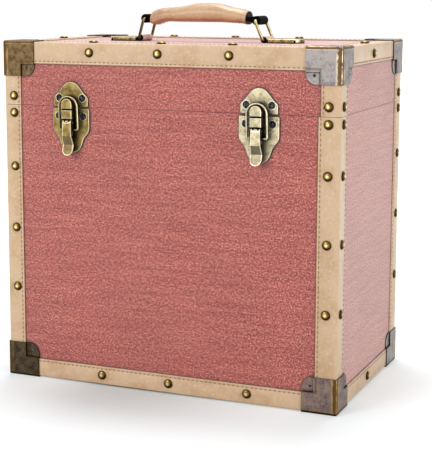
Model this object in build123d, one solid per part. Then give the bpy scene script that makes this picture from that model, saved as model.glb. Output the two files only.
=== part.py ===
"""Record carrying case: a hard box with a deep hinged lid, two toggle latches and a carrying handle.

Millimetres. Everything is built in case coordinates: x to the right, y to the back, z up, with the
origin under the middle of the bindings. case_to_frame then moves each piece so that the whole case
stands on z = 0 on its bottom corner caps, with the middle of its outline at the origin.
"""

from build123d import *
import os
from math import atan2, degrees, hypot, sqrt

# ------------------------------------------------------------------ case body
case_width = 360.0  # over the bindings
case_depth = 216.0
case_height = 350.0
lid_height = 64.4  # top of the case down to the middle of the seam
seam_gap = 0.4
panel_thickness = 5.0
cloth_thickness = 0.6
lining_thickness = 0.6
lip_thickness = 3.0  # strips inside the rim that keep the lid in line
lip_rise = 8.0
lip_depth = 22.0
lip_clearance = 0.8

# ------------------------------------------------------------------ leatherette bindings
binding_thickness = 1.4
binding_edge_radius = 1.8
corner_flange_left = 18.6  # width of the upright bindings on the front and back
corner_flange_right = 21.8
lid_corner_flange_right = 19.6
corner_flange_side = 21.6  # width of the upright bindings on the two ends
bottom_flange = 18.8
top_flange = 21.9
top_flange_end = 18.9  # top binding, on the two ends
flat_flange = 20.0  # width of the bindings on the top and bottom faces

# ------------------------------------------------------------------ metal corner caps
cap_size = 34.9  # along each edge, from the corner
cap_thickness = 1.0
cap_edge_radius = 1.7
cap_tab_radius = 11.0
cap_nail_inset = 8.5  # from the two free edges of the tab
cap_nail_head_radius = 1.7
cap_nail_head_height = 0.8
cap_nail_radius = 0.6

# ------------------------------------------------------------------ dome nails
stud_radius = 4.75
stud_height = 2.3
stud_shank_radius = 0.8
shank_clearance = 0.05
panel_reserve = 0.5  # wood left under the point of a nail or screw
top_stud_middle = -7.0
top_stud_pitch = 75.0
stud_row_inset = 9.8  # from the top or bottom edge to a row of nails
bottom_stud_places = (-71.0, 4.0, 88.5)
left_stud_drops = (8.2, 63.7, 127.9, 190.7)  # below the seam
right_stud_drops = (7.4, 55.8, 121.2, 188.8)
lid_stud_rise = 9.2  # above the seam
stud_inset_left = 10.8  # from an upright edge to its nails, on the front and back
stud_inset_right = 11.9
stud_inset_end = 9.8  # the same on the two ends, and on the top face

# ------------------------------------------------------------------ toggle latches
latch_places = (("left", -103.0), ("right", 99.2))
plate_thickness = 2.0
plate_edge_radius = 0.9
plate_corner = 1.0
strike_half_width = 19.0
strike_shoulder = 10.0
strike_shoulder_slope = 0.75
strike_height = 25.0
strike_bell = (9.5, 20.0)  # across and up, where the bell's side passes
strike_lift = 0.25  # clear of the seam
base_plate_half_width = 20.5
base_plate_drop = 1.7
base_plate_straight = 20.5
base_plate_length = 46.5
base_plate_bell = ((14.8, 31.0), (10.2, 41.5))  # across and down, where its side passes
latch_screw_spread = 13.0
base_screw_spread = 13.8
strike_screw_rise = 8.9
base_screw_drop = 9.2
catch_half_width = 5.8
catch_rise = 8.8
catch_drop = 1.2
catch_height = 12.0  # above the cloth, like the next heights
block_half_width = 5.7
block_top_drop = 2.6
block_bottom_drop = 11.5
block_height = 11.8
block_wall = 1.2
pivot_drop = 15.6
pivot_height = 8.0
pivot_pin_radius = 1.2
pivot_pin_overhang = 0.6
pivot_pin_fit = 0.01
knuckle_radius = 3.4
ear_thickness = 1.2
ear_radius = 1.9
ear_inset = 0.3  # between an ear and the lever's cheek
lever_waist = 4.6
lever_tip_half_width = 5.8
lever_skin = 1.2
lever_cheek = 1.2
lever_bend_radius = 1.0
lever_shoulder_rise = 5.0  # top of its outline above the pivot
lever_length = 48.2  # seam to lever tip
lever_bend_drop = 29.0
lever_recess_drop = 38.0
lever_recess_height = 8.2
lever_top_height = 12.0
lever_cheek_back = 4.9
bail_radius = 1.0
bail_half_width = 10.1  # to the middle of the wire
bail_arch_rise = 10.4
bail_arch_height = 8.6
bail_pivot_drop = 22.6
bail_pivot_height = 6.5
bail_bend_radius = 2.0
running_clearance = 0.05

# ------------------------------------------------------------------ screws
screw_head_radius = 3.5
screw_head_height = 1.0
screw_radius = 1.5
screw_slot_length = 5.0
screw_slot_width = 0.8
screw_slot_depth = 0.5
counterbore_clearance = 0.2

# ------------------------------------------------------------------ back hinges
hinge_spread = 102.0  # middle of the case to the middle of a hinge
hinge_width = 38.0
hinge_leaf_height = 18.0
hinge_leaf_thickness = 1.2
hinge_leaf_corner = 2.0
hinge_barrel_radius = 3.2
hinge_pin_radius = 1.5
hinge_knuckles = 5
hinge_knuckle_gap = 0.3
hinge_screw_spread = 12.0
hinge_screw_rise = 11.5
hinge_screw_head_radius = 2.6
hinge_screw_head_height = 0.9

# ------------------------------------------------------------------ carrying handle
left_bar_x = -71.4  # middle of the left ring's lower bar
right_bar_x = 67.4
left_ring_lean = 5.6  # how far the ring's top bar lies inwards of its lower bar
right_ring_lean = 8.4
ring_length = 21.2  # between the middles of a ring's two bars
ring_half_width = 15.5
ring_wire_radius = 1.5
ring_corner_radius = 4.0
chape_thickness = 1.6
chape_half_width = 12.0
chape_length = 34.1  # from the ring's bar outwards
chape_bore_clearance = 0.3
chape_shoulder = (0.6, 0.8)  # direction from the bar to where the fold runs out flat
chape_flat_gap = 0.6  # between the flat part's start and the brass plate
handle_plate_start = 5.4  # from the ring's bar to the plate's straight end
handle_plate_end = 4.5  # past the end of the chape
handle_plate_margin = 1.5  # past the sides of the chape
handle_plate_top = 1.3
handle_plate_corner_flat = 1.5  # left straight between its two round corners
handle_plate_edge_radius = 1.04
handle_screw_inset = 8.0  # from each end of the brass plate
grip_stations = (  # along from the middle of the core, underside, top, half width
    (-57.7, -5.8, 7.1, 11.6),
    (-53.0, -6.6, 9.6, 11.8),
    (-41.6, -3.0, 11.4, 12.2),
    (-26.0, -2.8, 12.7, 12.7),
    (-10.0, -2.7, 16.0, 13.0),
    (4.4, -2.6, 16.9, 13.0),
    (18.4, -2.4, 16.2, 12.9),
    (33.4, -2.8, 12.9, 12.4),
    (43.6, -3.6, 11.2, 12.0),
    (52.7, -5.3, 8.8, 11.6),
)
core_half_width = 7.0
core_thickness = 2.6
core_lift = 1.0  # middle of the strip above the ring bars
core_fit = 0.1
eye_radius = 4.6
eye_half_width = 12.0
eye_web_half_height = 3.6  # where the fold of the strip meets the end of the grip
eye_fit_left = 0.3
eye_fit_right = 0.9  # loose, so that the grip can rock between the two rings

# ------------------------------------------------------------------ worked out from the above
seam_height = case_height - lid_height
rim_low = seam_height - seam_gap / 2
rim_high = seam_height + seam_gap / 2
half_width = case_width / 2
half_depth = case_depth / 2
skin = binding_thickness + cloth_thickness
cloth_y = half_depth - binding_thickness
cloth_top = case_height - binding_thickness
panel_x = half_width - skin
panel_y = half_depth - skin
inside_x = panel_x - panel_thickness
inside_y = panel_y - panel_thickness
nail_reach = skin + panel_thickness - panel_reserve
cap_nail_reach = nail_reach - binding_thickness + cap_thickness
latch_screw_length = nail_reach - binding_thickness + plate_thickness
hinge_screw_length = nail_reach - binding_thickness + hinge_leaf_thickness
handle_plate_height = 2 * chape_thickness + handle_plate_top
handle_screw_length = nail_reach - binding_thickness + handle_plate_height
hinge_axis_y = cloth_y + hinge_barrel_radius
latch_front = max(catch_height, block_height, lever_top_height) - binding_thickness
hinge_back = hinge_axis_y + hinge_barrel_radius - half_depth
case_to_frame = Pos(0, (latch_front - hinge_back) / 2, cap_thickness)
ring_bar_z = cloth_top + chape_thickness + chape_bore_clearance + ring_wire_radius
left_top = (left_bar_x + left_ring_lean, sqrt(ring_length**2 - left_ring_lean**2))
right_top = (right_bar_x - right_ring_lean, sqrt(ring_length**2 - right_ring_lean**2))
core_run, core_climb = right_top[0] - left_top[0], right_top[1] - left_top[1]
core_reach = hypot(core_run, core_climb) / 2
grip_frame = Plane(  # X from the left ring's top bar to the right one's
    origin=((left_top[0] + right_top[0]) / 2, 0, ring_bar_z + (left_top[1] + right_top[1]) / 2),
    x_dir=(core_run, 0, core_climb),
    z_dir=(-core_climb, 0, core_run),
)
far = 2 * max(case_width, case_depth, case_height)


def block(x0, x1, y0, y1, z0, z1):
    """A box between two corners."""
    middle = Pos((x0 + x1) / 2, (y0 + y1) / 2, (z0 + z1) / 2)
    return middle * Box(x1 - x0, y1 - y0, z1 - z0)


def to_corner(shape, x_side, y_side, top=False):
    """Mirror a shape made for the front left bottom corner to another corner."""
    if x_side > 0:
        shape = mirror(shape, about=Plane.YZ)
    if y_side > 0:
        shape = mirror(shape, about=Plane.XZ)
    if top:
        shape = mirror(shape, about=Plane.XY.offset(case_height / 2))
    return shape


def save(name, *solids):
    """Write one node: a solid, or a group of separate solids."""
    placed = [case_to_frame * solid for solid in solids]
    export_step(placed[0] if len(placed) == 1 else Compound(placed), f"parts/{name}.step")


def cut_near(shape, tools):
    """Cut only the tools whose boxes meet the shape's box."""
    box = shape.bounding_box()
    near = [tool for tool in tools if box.overlaps(tool.bounding_box())]
    return shape - near if near else shape


# ------------------------------------------------------------------ places of the fasteners
def face_plane(face, across, height, sink=0.0):
    """A plane on the outside of the case whose z axis points outwards, sink below the bindings."""
    if face in ("front", "back"):
        side = -1 if face == "front" else 1
        origin = (across, side * (half_depth - sink), height)
        return Plane(origin=origin, x_dir=(-side, 0, 0), z_dir=(0, side, 0))
    if face in ("left", "right"):
        side = -1 if face == "left" else 1
        origin = (side * (half_width - sink), across, height)
        return Plane(origin=origin, x_dir=(0, side, 0), z_dir=(side, 0, 0))
    if face == "top":
        return Plane(origin=(across, height, case_height - sink), x_dir=(1, 0, 0), z_dir=(0, 0, 1))
    return Plane(origin=(across, height, sink), x_dir=(1, 0, 0), z_dir=(0, 0, -1))


def upright_studs(heights_left, heights_right):
    """Dome nails up both flanges of the four upright edges."""
    places = []
    for face in ("front", "back"):
        places += [face_plane(face, stud_inset_left - half_width, z) for z in heights_left]
        places += [face_plane(face, half_width - stud_inset_right, z) for z in heights_right]
    for face, heights in (("left", heights_left), ("right", heights_right)):
        for y in (stud_inset_end - half_depth, half_depth - stud_inset_end):
            places += [face_plane(face, y, z) for z in heights]
    return places


def base_stud_places():
    """The nails in the base: up its edges and along its bottom bindings."""
    places = upright_studs(
        [seam_height - drop for drop in left_stud_drops],
        [seam_height - drop for drop in right_stud_drops],
    )
    for face in ("front", "back"):
        places += [face_plane(face, x, stud_row_inset) for x in bottom_stud_places]
    return places + [face_plane(face, 0, stud_row_inset) for face in ("left", "right")]


def lid_stud_places():
    """The nails in the lid: one up each edge and along both faces of its top bindings."""
    heights = [seam_height + lid_stud_rise]
    places = upright_studs(heights, heights)
    row = [top_stud_middle + n * top_stud_pitch for n in (-1, 0, 1)]
    top_row = case_height - stud_row_inset
    for face in ("front", "back"):
        places += [face_plane(face, x, top_row) for x in row]
    places += [face_plane(face, 0, top_row) for face in ("left", "right")]
    for y in (stud_inset_end - half_depth, half_depth - stud_inset_end):
        places += [face_plane("top", x, y) for x in row]
    for x in (stud_inset_end - half_width, half_width - stud_inset_end):
        places.append(face_plane("top", x, 0))
    return places


def cap_nail_places(top):
    """One nail through each of the three tabs of each corner cap, on the tab's outside."""
    sink = binding_thickness - cap_thickness
    inset = cap_size - cap_nail_inset
    height = case_height - inset if top else inset
    places = []
    for x in (inset - half_width, half_width - inset):
        for y in (inset - half_depth, half_depth - inset):
            places.append(face_plane("front" if y < 0 else "back", x, height, sink))
            places.append(face_plane("left" if x < 0 else "right", y, height, sink))
            places.append(face_plane("top" if top else "bottom", x, y, sink))
    return places


def hinge_screw_places(side):
    """Two screws in each hinge leaf; side is 1 for the lid's leaves and -1 for the base's."""
    height = seam_height + side * hinge_screw_rise
    sink = binding_thickness - hinge_leaf_thickness
    places = []
    for middle in (-hinge_spread, hinge_spread):
        for x in (middle - hinge_screw_spread, middle + hinge_screw_spread):
            places.append(face_plane("back", x, height, sink))
    return places


def latch_screw_places(spread, rise):
    """The screws of both latches, on the outside of their plates."""
    sink = binding_thickness - plate_thickness
    places = []
    for _, middle in latch_places:
        for x in (middle - spread, middle + spread):
            places.append(face_plane("front", x, seam_height + rise, sink))
    return places


def handle_screw_places():
    """Two screws through each brass plate of the handle, on the plate's outside."""
    end = chape_length + handle_plate_end
    sink = binding_thickness - handle_plate_height
    places = []
    for bar_x, side in ((left_bar_x, -1), (right_bar_x, 1)):
        for x in (handle_plate_start + handle_screw_inset, end - handle_screw_inset):
            places.append(face_plane("top", bar_x + side * x, 0, sink))
    return places


# ------------------------------------------------------------------ fasteners
def dome_nail(head_radius, head_height, shank_radius, shank_length):
    """A nail with a round domed head on z = 0 and its shank below."""
    ball_radius = (head_radius**2 + head_height**2) / (2 * head_height)
    ball = Pos(0, 0, head_height - ball_radius) * Sphere(ball_radius)
    head = ball & block(-head_radius, head_radius, -head_radius, head_radius, 0, head_height)
    return head + Pos(0, 0, -shank_length / 2) * Cylinder(shank_radius, shank_length)


def cross_screw(head_radius, head_height, shank_length):
    """A screw with a cross slot whose head is sunk head_height below z = 0."""
    head = Pos(0, 0, -head_height / 2) * Cylinder(head_radius, head_height)
    reach = screw_slot_length / 2
    for x, y in ((reach, screw_slot_width / 2), (screw_slot_width / 2, reach)):
        head -= block(-x, x, -y, y, -screw_slot_depth, 1)
    return head + Pos(0, 0, -shank_length / 2) * Cylinder(screw_radius, shank_length)


def shank_holes(places, radius, length):
    """Clearance holes, as cutting tools, for the shanks of fasteners at these places."""
    tool = Cylinder(radius + shank_clearance, length + 1)
    return [place.location * (Pos(0, 0, (1 - length) / 2) * tool) for place in places]


def counterbores(places, head_radius, head_height):
    """Recesses, as cutting tools, for sunk screw heads."""
    tool = Pos(0, 0, (1 - head_height) / 2) * Cylinder(
        head_radius + counterbore_clearance, head_height + 1
    )
    return [place.location * tool for place in places]


# ------------------------------------------------------------------ box, cloth and lining
def wall_panels(bottom, top):
    """Front, back, left and right boards between two heights, butted at the corners."""
    return {
        "front": block(-panel_x, panel_x, -panel_y, -inside_y, bottom, top),
        "back": block(-panel_x, panel_x, inside_y, panel_y, bottom, top),
        "left": block(-panel_x, -inside_x, -inside_y, inside_y, bottom, top),
        "right": block(inside_x, panel_x, -inside_y, inside_y, bottom, top),
    }


def tray(x, y, shut, mouth, thickness):
    """A thin five-sided skin with its outside at x, y and shut, and open at mouth."""
    step = thickness if mouth > shut else -thickness
    outer = block(-x, x, -y, y, min(shut, mouth), max(shut, mouth))
    low, high = sorted((shut + step, mouth + step))
    return outer - block(-x + thickness, x - thickness, -y + thickness, y - thickness, low, high)


def locating_lip():
    """Four strips glued inside the base's rim, stepped back where they stand up into the lid."""
    x = inside_x - lining_thickness
    y = inside_y - lining_thickness
    low, high = rim_low - lip_depth, rim_low + lip_rise
    strips = [
        block(-x, x, -y, lip_thickness - y, low, high),
        block(-x, x, y - lip_thickness, y, low, high),
        block(-x, lip_thickness - x, lip_thickness - y, y - lip_thickness, low, high),
        block(x - lip_thickness, x, lip_thickness - y, y - lip_thickness, low, high),
    ]
    room = block(-x - 1, x + 1, -y - 1, y + 1, rim_low, high + 1) - block(
        lip_clearance - x, x - lip_clearance, lip_clearance - y, y - lip_clearance, rim_low, high + 1
    )
    return [strip - room for strip in strips]


# ------------------------------------------------------------------ bindings
def angle_strip(leg_a, leg_b, plane, length):
    """An L-shaped strip: legs along the plane's x and y from its origin, length along its z."""
    t = binding_thickness
    outline = Polyline(
        (0, 0), (leg_a, 0), (leg_a, t), (t, t), (t, leg_b), (0, leg_b), close=True
    )
    strip = extrude(plane * make_face(outline), amount=length)
    outer_edge = strip.edges().filter_by(Axis(plane.origin, plane.z_dir)).sort_by(
        lambda edge: (edge.center() - (plane.origin + plane.z_dir * (length / 2))).length
    )[0]
    return fillet(outer_edge, binding_edge_radius)


def corner_bindings(bottom, top, right_flange):
    """The four upright bindings between two heights."""
    strips = []
    for x_side, flange in ((-1, corner_flange_left), (1, right_flange)):
        plane = Plane(origin=(-half_width, -half_depth, bottom), x_dir=(1, 0, 0), z_dir=(0, 0, 1))
        strip = angle_strip(flange, corner_flange_side, plane, top - bottom)
        strips += [to_corner(strip, x_side, y_side) for y_side in (-1, 1)]
    return strips


def level_bindings(long_flange, end_flange, right_flange, top):
    """The four bindings round the bottom, or round the top."""
    start = max(corner_flange_left, flat_flange) - half_width
    end = half_width - max(right_flange, flat_flange)
    side_start = corner_flange_side - half_depth
    long_plane = Plane(origin=(start, -half_depth, 0), x_dir=(0, 1, 0), z_dir=(1, 0, 0))
    end_plane = Plane(origin=(-half_width, side_start, 0), x_dir=(0, 0, 1), z_dir=(0, 1, 0))
    long_strip = angle_strip(flat_flange, long_flange, long_plane, end - start)
    end_strip = angle_strip(end_flange, flat_flange, end_plane, -2 * side_start)
    strips = [to_corner(long_strip, -1, y_side, top) for y_side in (-1, 1)]
    return strips + [to_corner(end_strip, x_side, -1, top) for x_side in (-1, 1)]


# ------------------------------------------------------------------ corner caps
def cap_tab(plane, flange_a, flange_b):
    """A tab of a cap: stepped down from the bindings to the cloth, with a rounded free corner."""
    t, size = cap_thickness, cap_size
    outline = Rectangle(size - flange_a, size - flange_b, align=(Align.MIN, Align.MIN))
    outline = fillet(outline.vertices().sort_by(lambda v: v.X + v.Y)[-1], cap_tab_radius)
    solid = Pos(0, 0, -t) * extrude(outline, amount=binding_thickness + t)
    pocket = block(t, size, t, size, -t, binding_thickness - t)
    return plane.location * (Pos(flange_a, flange_b, 0) * (solid - pocket))


def corner_cap(front_flange, long_flange, end_flange):
    """A three-faced cap for the front left bottom corner, with a stepped tab on each face."""
    t, size = cap_thickness, cap_size
    cap = block(-t, size, -t, size, -t, size)
    corner_edges = [
        edge
        for edge in cap.edges()
        if sum(abs(value + t) < 1e-6 for value in edge.center()) == 2
    ]
    cap = fillet(corner_edges, cap_edge_radius) - block(0, far, 0, far, 0, far)
    faces = (
        (Plane(origin=(0, 0, 0), x_dir=(1, 0, 0), z_dir=(0, 0, 1)), flat_flange, flat_flange),
        (Plane(origin=(0, 0, 0), x_dir=(0, 0, 1), z_dir=(0, 1, 0)), long_flange, front_flange),
        (Plane(origin=(0, 0, 0), x_dir=(0, 1, 0), z_dir=(1, 0, 0)), corner_flange_side, end_flange),
    )
    for plane, flange_a, flange_b in faces:
        window = block(flange_a, far, flange_b, far, -t - 1, 0)
        cap = cap - plane.location * window + cap_tab(plane, flange_a, flange_b)
    return Pos(-half_width, -half_depth, 0) * cap


def corner_caps(top, right_flange):
    """The four caps of the base, or of the lid, by name."""
    caps = {}
    for x_name, x_side, flange in (("left", -1, corner_flange_left), ("right", 1, right_flange)):
        if top:
            cap = corner_cap(flange, top_flange, top_flange_end)
        else:
            cap = corner_cap(flange, bottom_flange, bottom_flange)
        for y_name, y_side in (("front", -1), ("back", 1)):
            level = "top" if top else "bottom"
            caps[f"cap_{level}_{y_name}_{x_name}"] = to_corner(cap, x_side, y_side, top)
    return caps


# ------------------------------------------------------------------ toggle latches
# A latch is drawn with x across, y up from the seam and z out from the cloth.
latch_side_plane = Plane(origin=(0, 0, 0), x_dir=(0, 1, 0), z_dir=(1, 0, 0))


def latch_frame(middle):
    """The plane on the front cloth, at the seam, that a latch is drawn on."""
    origin = (middle, -cloth_y, seam_height)
    return Plane(origin=origin, x_dir=(1, 0, 0), z_dir=(0, -1, 0))


def side_slab(outline, half_thickness):
    """A side view, drawn as (up, out) points, made into a slab across the latch."""
    return extrude(latch_side_plane * outline, amount=half_thickness, both=True)


def side_face(*points):
    """A polygon of (up, out) points."""
    return make_face(Polyline(*points, close=True))


def disc(up, out, radius):
    """A round in the side view."""
    return Pos(up, out) * Circle(radius)


def symmetric_plate(curves):
    """A plate from the right half of its outline, which starts and ends on the middle line."""
    half = Wire(curves.edges())
    face = make_face(half.edges() + half.mirror(Plane.YZ).edges())
    plate = extrude(face, amount=plate_thickness)
    rim = plate.faces().sort_by(Axis.Z)[-1].outer_wire().edges()
    return fillet(rim, plate_edge_radius)


def strike_plate():
    """The lid's plate: a bell-shaped outline with the D-shaped catch standing out of it."""
    low, shoulder, top = strike_lift, strike_shoulder, strike_height
    w = strike_half_width
    c = plate_corner
    shoulder_end = (w - c, shoulder + c * strike_shoulder_slope)
    line = Polyline((0, low), (w - c, low), (w, low + c), (w, shoulder - c), shoulder_end)
    slope = Spline(
        shoulder_end, strike_bell, (0, top), tangents=((-1, strike_shoulder_slope), (-1, 0))
    )
    plate = symmetric_plate(line + slope)
    arch_middle = catch_rise - catch_half_width
    catch = Pos(0, arch_middle) * Circle(catch_half_width) & Pos(0, catch_rise) * Rectangle(
        2 * catch_half_width, 2 * catch_half_width
    )
    catch += Pos(0, (arch_middle - catch_drop) / 2) * Rectangle(
        2 * catch_half_width, arch_middle + catch_drop
    )
    catch = extrude(catch, amount=catch_height)
    catch = fillet(catch.faces().sort_by(Axis.Z)[-1].edges(), plate_edge_radius)
    below_plate = block(-far, far, -far, low, -1, plate_thickness)
    return plate + (catch - below_plate)


def latch_base_plate():
    """The base's plate: a shield with a raised hollow block and two ears for the lever's pin."""
    drop, w, length = base_plate_drop, base_plate_half_width, base_plate_length
    c = plate_corner
    line = Polyline((0, -drop), (w - c, -drop), (w, -drop - c), (w, -base_plate_straight))
    slope = Spline(
        (w, -base_plate_straight),
        *[(across, -down) for across, down in base_plate_bell],
        (0, -length),
        tangents=((0, -1), (-1, 0)),
    )
    plate = symmetric_plate(line + slope)
    raised = block(
        -block_half_width, block_half_width, -block_bottom_drop, -block_top_drop, 0, block_height
    )
    front_edges = raised.faces().sort_by(Axis.Z)[-1].edges()
    raised = fillet(front_edges, plate_edge_radius)
    inner = block_half_width - block_wall
    raised -= block(
        -inner,
        inner,
        -block_bottom_drop - 1,
        -block_top_drop - block_wall,
        plate_thickness,
        block_height - block_wall,
    )
    outline = disc(-pivot_drop, pivot_height, ear_radius) + side_face(
        (-pivot_drop - ear_radius, 1),
        (-pivot_drop - ear_radius, pivot_height),
        (-pivot_drop + ear_radius, pivot_height),
        (-pivot_drop + ear_radius, 1),
    )
    ear = side_slab(outline, ear_thickness / 2)
    reach = lever_waist - lever_cheek - ear_inset - ear_thickness / 2
    solid = plate + raised + Pos(reach, 0, 0) * ear + Pos(-reach, 0, 0) * ear
    return solid - side_slab(disc(-pivot_drop, pivot_height, pivot_pin_radius + pivot_pin_fit), far)


def pivot_pin():
    """The pin through the ears that the lever turns on."""
    round_bar = disc(-pivot_drop, pivot_height, pivot_pin_radius)
    return side_slab(round_bar, lever_waist + pivot_pin_overhang)


def lever():
    """The lever: a bent skin with two cheeks that carry the pin and the bail."""
    up, out = -pivot_drop, pivot_height
    bend, recess, tip = -lever_bend_drop, -lever_recess_drop, -lever_length
    top, low = lever_top_height, lever_recess_height
    skin_line = ((up, out + knuckle_radius), (bend, top), (recess, low), (tip, top))
    skin_face = side_face(*skin_line, *[(u, v - lever_skin) for u, v in reversed(skin_line)])
    bends = [v for v in skin_face.vertices() if tip + 1 < v.X < up - 1]
    skin_face = fillet(bends, lever_bend_radius)
    cheeks = disc(up, out, knuckle_radius) + side_face(
        (up, out + knuckle_radius),
        (bend, top - lever_skin / 2),
        (-bail_pivot_drop - bail_radius - 2 * lever_cheek, lever_cheek_back),
        (up, lever_cheek_back),
    )
    inner = lever_waist - lever_cheek
    channel = disc(up, out, knuckle_radius + 1) + side_face(
        (up, out),
        (up, out + knuckle_radius - lever_skin),
        (bend, top - lever_skin),
        (bend, 0),
        (up + knuckle_radius + 1, 0),
        (up + knuckle_radius + 1, out),
    )
    keep_skin = side_face(
        (up, out + knuckle_radius - lever_skin),
        (up, out + knuckle_radius + 2),
        (bend, top + 2),
        (bend, top - lever_skin),
    )
    solid = side_slab(skin_face, far) + side_slab(cheeks, far)
    solid -= side_slab(channel - keep_skin, inner)
    waist, wide = lever_waist, lever_tip_half_width
    shoulder, shank = up + lever_shoulder_rise, tip + wide
    outline = [(waist, shoulder), (waist, -bail_pivot_drop), (wide, recess), (wide, shank)]
    mirrored = [(-x, u) for x, u in reversed(outline)]
    front_view = make_face(Polyline(*outline, *mirrored, close=True))
    front_view += Pos(0, shank) * Circle(wide)
    solid = solid & extrude(front_view, amount=far, both=True)
    solid -= side_slab(disc(up, out, pivot_pin_radius + running_clearance), far)
    bail_hole = disc(-bail_pivot_drop, bail_pivot_height, bail_radius + running_clearance)
    return solid - side_slab(bail_hole, far)


def bail():
    """The wire bail: an arch whose two ends turn inwards into the lever's cheeks."""
    rise = bail_arch_rise + bail_pivot_drop
    out = bail_arch_height - bail_pivot_height
    length = hypot(rise, out)
    w, r = bail_half_width, bail_bend_radius
    end_x = lever_waist - lever_cheek + ear_inset
    half = [
        Line((end_x, 0), (w - r, 0)),
        RadiusArc((w - r, 0), (w, r), -r),
        Line((w, r), (w, length - w)),
        RadiusArc((w, length - w), (0, length), -w),
    ]
    path = Wire([piece.edge() for piece in half])
    path = Wire(list(path.edges()) + list(path.mirror(Plane.YZ).edges()))
    start = Plane(origin=(end_x, 0, 0), z_dir=(1, 0, 0))
    wire = sweep(start * Circle(bail_radius), path=path)
    tilt = Rot(degrees(atan2(out, rise)), 0, 0)
    return Pos(0, -bail_pivot_drop, bail_pivot_height) * (tilt * wire)


# ------------------------------------------------------------------ hinges
def knuckle_spans(own):
    """Start and end, along the barrel, of the knuckles of one leaf: own is 0 or 1."""
    pitch = hinge_width / hinge_knuckles
    gap = hinge_knuckle_gap / 2
    spans = [(n * pitch - hinge_width / 2, n) for n in range(hinge_knuckles)]
    return [(start + gap, start + pitch - gap) for start, n in spans if n % 2 == own]


def hinge_leaf(middle, side):
    """A leaf on the back cloth: side is 1 for the lid's leaf and -1 for the base's."""
    clear = hinge_barrel_radius + hinge_knuckle_gap
    t, reach = hinge_leaf_thickness, hinge_width / 2
    low, high = sorted((side * clear, side * hinge_leaf_height))
    leaf = block(-reach, reach, 0, t, low, high)
    leaf = fillet(leaf.edges().filter_by(Axis.Y).group_by(SortBy.LENGTH)[0], hinge_leaf_corner)
    for start, end in knuckle_spans(0 if side < 0 else 1):
        turn = Pos((start + end) / 2, hinge_barrel_radius, 0) * Rot(0, 90, 0)
        knuckle = turn * Cylinder(hinge_barrel_radius, end - start)
        arm_low, arm_high = sorted((0, side * (clear + t)))
        leaf = leaf + knuckle + block(start, end, 0, t, arm_low, arm_high)
    bore = Pos(0, hinge_barrel_radius, 0) * Rot(0, 90, 0)
    leaf -= bore * Cylinder(hinge_pin_radius + running_clearance, far)
    leaf = Pos(middle, cloth_y, seam_height) * leaf
    places = hinge_screw_places(side)
    holes = shank_holes(places, screw_radius, hinge_screw_length)
    holes += counterbores(places, hinge_screw_head_radius, hinge_screw_head_height)
    return cut_near(leaf, holes)


def hinge_pin(middle):
    """The pin of one hinge, a little longer than its barrel."""
    bar = Cylinder(hinge_pin_radius, hinge_width)
    return Pos(middle, hinge_axis_y, seam_height) * (Rot(0, 90, 0) * bar)


# ------------------------------------------------------------------ handle, made for the right side
# A ring, chape and brass plate are made outwards along X from the ring's lower bar, at x = 0.
def handle_side(shape, side):
    """Put a piece of the handle at the right ring's bar, or mirrored at the left ring's."""
    if side > 0:
        return Pos(right_bar_x, 0, 0) * shape
    return Pos(left_bar_x, 0, 0) * mirror(shape, about=Plane.YZ)


def handle_ring(lean_in):
    """A rectangular wire ring that leans inwards from its lower bar."""
    loop = Pos(0, ring_length / 2) * RectangleRounded(
        2 * ring_half_width, ring_length, ring_corner_radius
    )
    path = loop.wire()
    start = Plane(origin=(0, 0, 0), x_dir=(0, 1, 0), z_dir=(1, 0, 0))
    wire = sweep(start * Circle(ring_wire_radius), path=path)
    rise = sqrt(ring_length**2 - lean_in**2)
    lean = Plane(origin=(0, 0, ring_bar_z), x_dir=(0, 1, 0), z_dir=(rise, 0, lean_in))
    return lean.location * wire


def chape():
    """The leather strap folded round a ring's lower bar and flat under the brass plate."""
    outer = ring_wire_radius + chape_bore_clearance + chape_thickness
    z = ring_bar_z
    shoulder_x, shoulder_z = [outer * part for part in chape_shoulder]
    strap_top = cloth_top + 2 * chape_thickness
    strap = make_face(
        Polyline(
            (0, cloth_top),
            (chape_length, cloth_top),
            (chape_length, strap_top),
            (handle_plate_start - chape_flat_gap, strap_top),
            (shoulder_x, z + shoulder_z),
            (0, z),
            close=True,
        )
    )
    fold = Pos(0, z) * Circle(outer)
    outline = fold + strap - Pos(0, z) * Circle(ring_wire_radius + chape_bore_clearance)
    side_view = Plane(origin=(0, 0, 0), x_dir=(1, 0, 0), z_dir=(0, -1, 0))
    return extrude(side_view * outline, amount=chape_half_width, both=True)


def handle_plate():
    """The brass plate over the chape, with a round outer end and a pocket for the strap."""
    start, end = handle_plate_start, chape_length + handle_plate_end
    w = chape_half_width + handle_plate_margin
    outline = Pos((start + end) / 2, 0) * Rectangle(end - start, 2 * w)
    outline = fillet(outline.vertices().group_by(Axis.X)[-1], w - handle_plate_corner_flat)
    plate = Pos(0, 0, cloth_top) * extrude(outline, amount=handle_plate_height)
    rim = plate.faces().sort_by(Axis.Z)[-1].edges()
    plate = fillet(rim, handle_plate_edge_radius)
    pocket_x = chape_length + core_fit
    pocket_y = chape_half_width + core_fit
    pocket_top = cloth_top + 2 * chape_thickness
    plate -= block(start - 1, pocket_x, -pocket_y, pocket_y, cloth_top - 1, pocket_top)
    return plate


def core_eye(side, fit):
    """One end of the core strip, folded round a ring's top bar; its web reaches the grip."""
    grip_end = grip_stations[-1 if side > 0 else 0][0]
    web = make_face(
        Polyline(
            (grip_end + side * core_fit, core_lift - core_thickness / 2),
            (side * core_reach, -eye_web_half_height),
            (side * core_reach, eye_web_half_height),
            (grip_end + side * core_fit, eye_web_half_height),
            close=True,
        )
    )
    bar = Pos(side * core_reach, 0)
    outline = web + bar * Circle(eye_radius) - bar * Circle(ring_wire_radius + fit)
    side_view = Plane(origin=(0, 0, 0), x_dir=(1, 0, 0), z_dir=(0, -1, 0))
    return extrude(side_view * outline, amount=eye_half_width, both=True)


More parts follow.
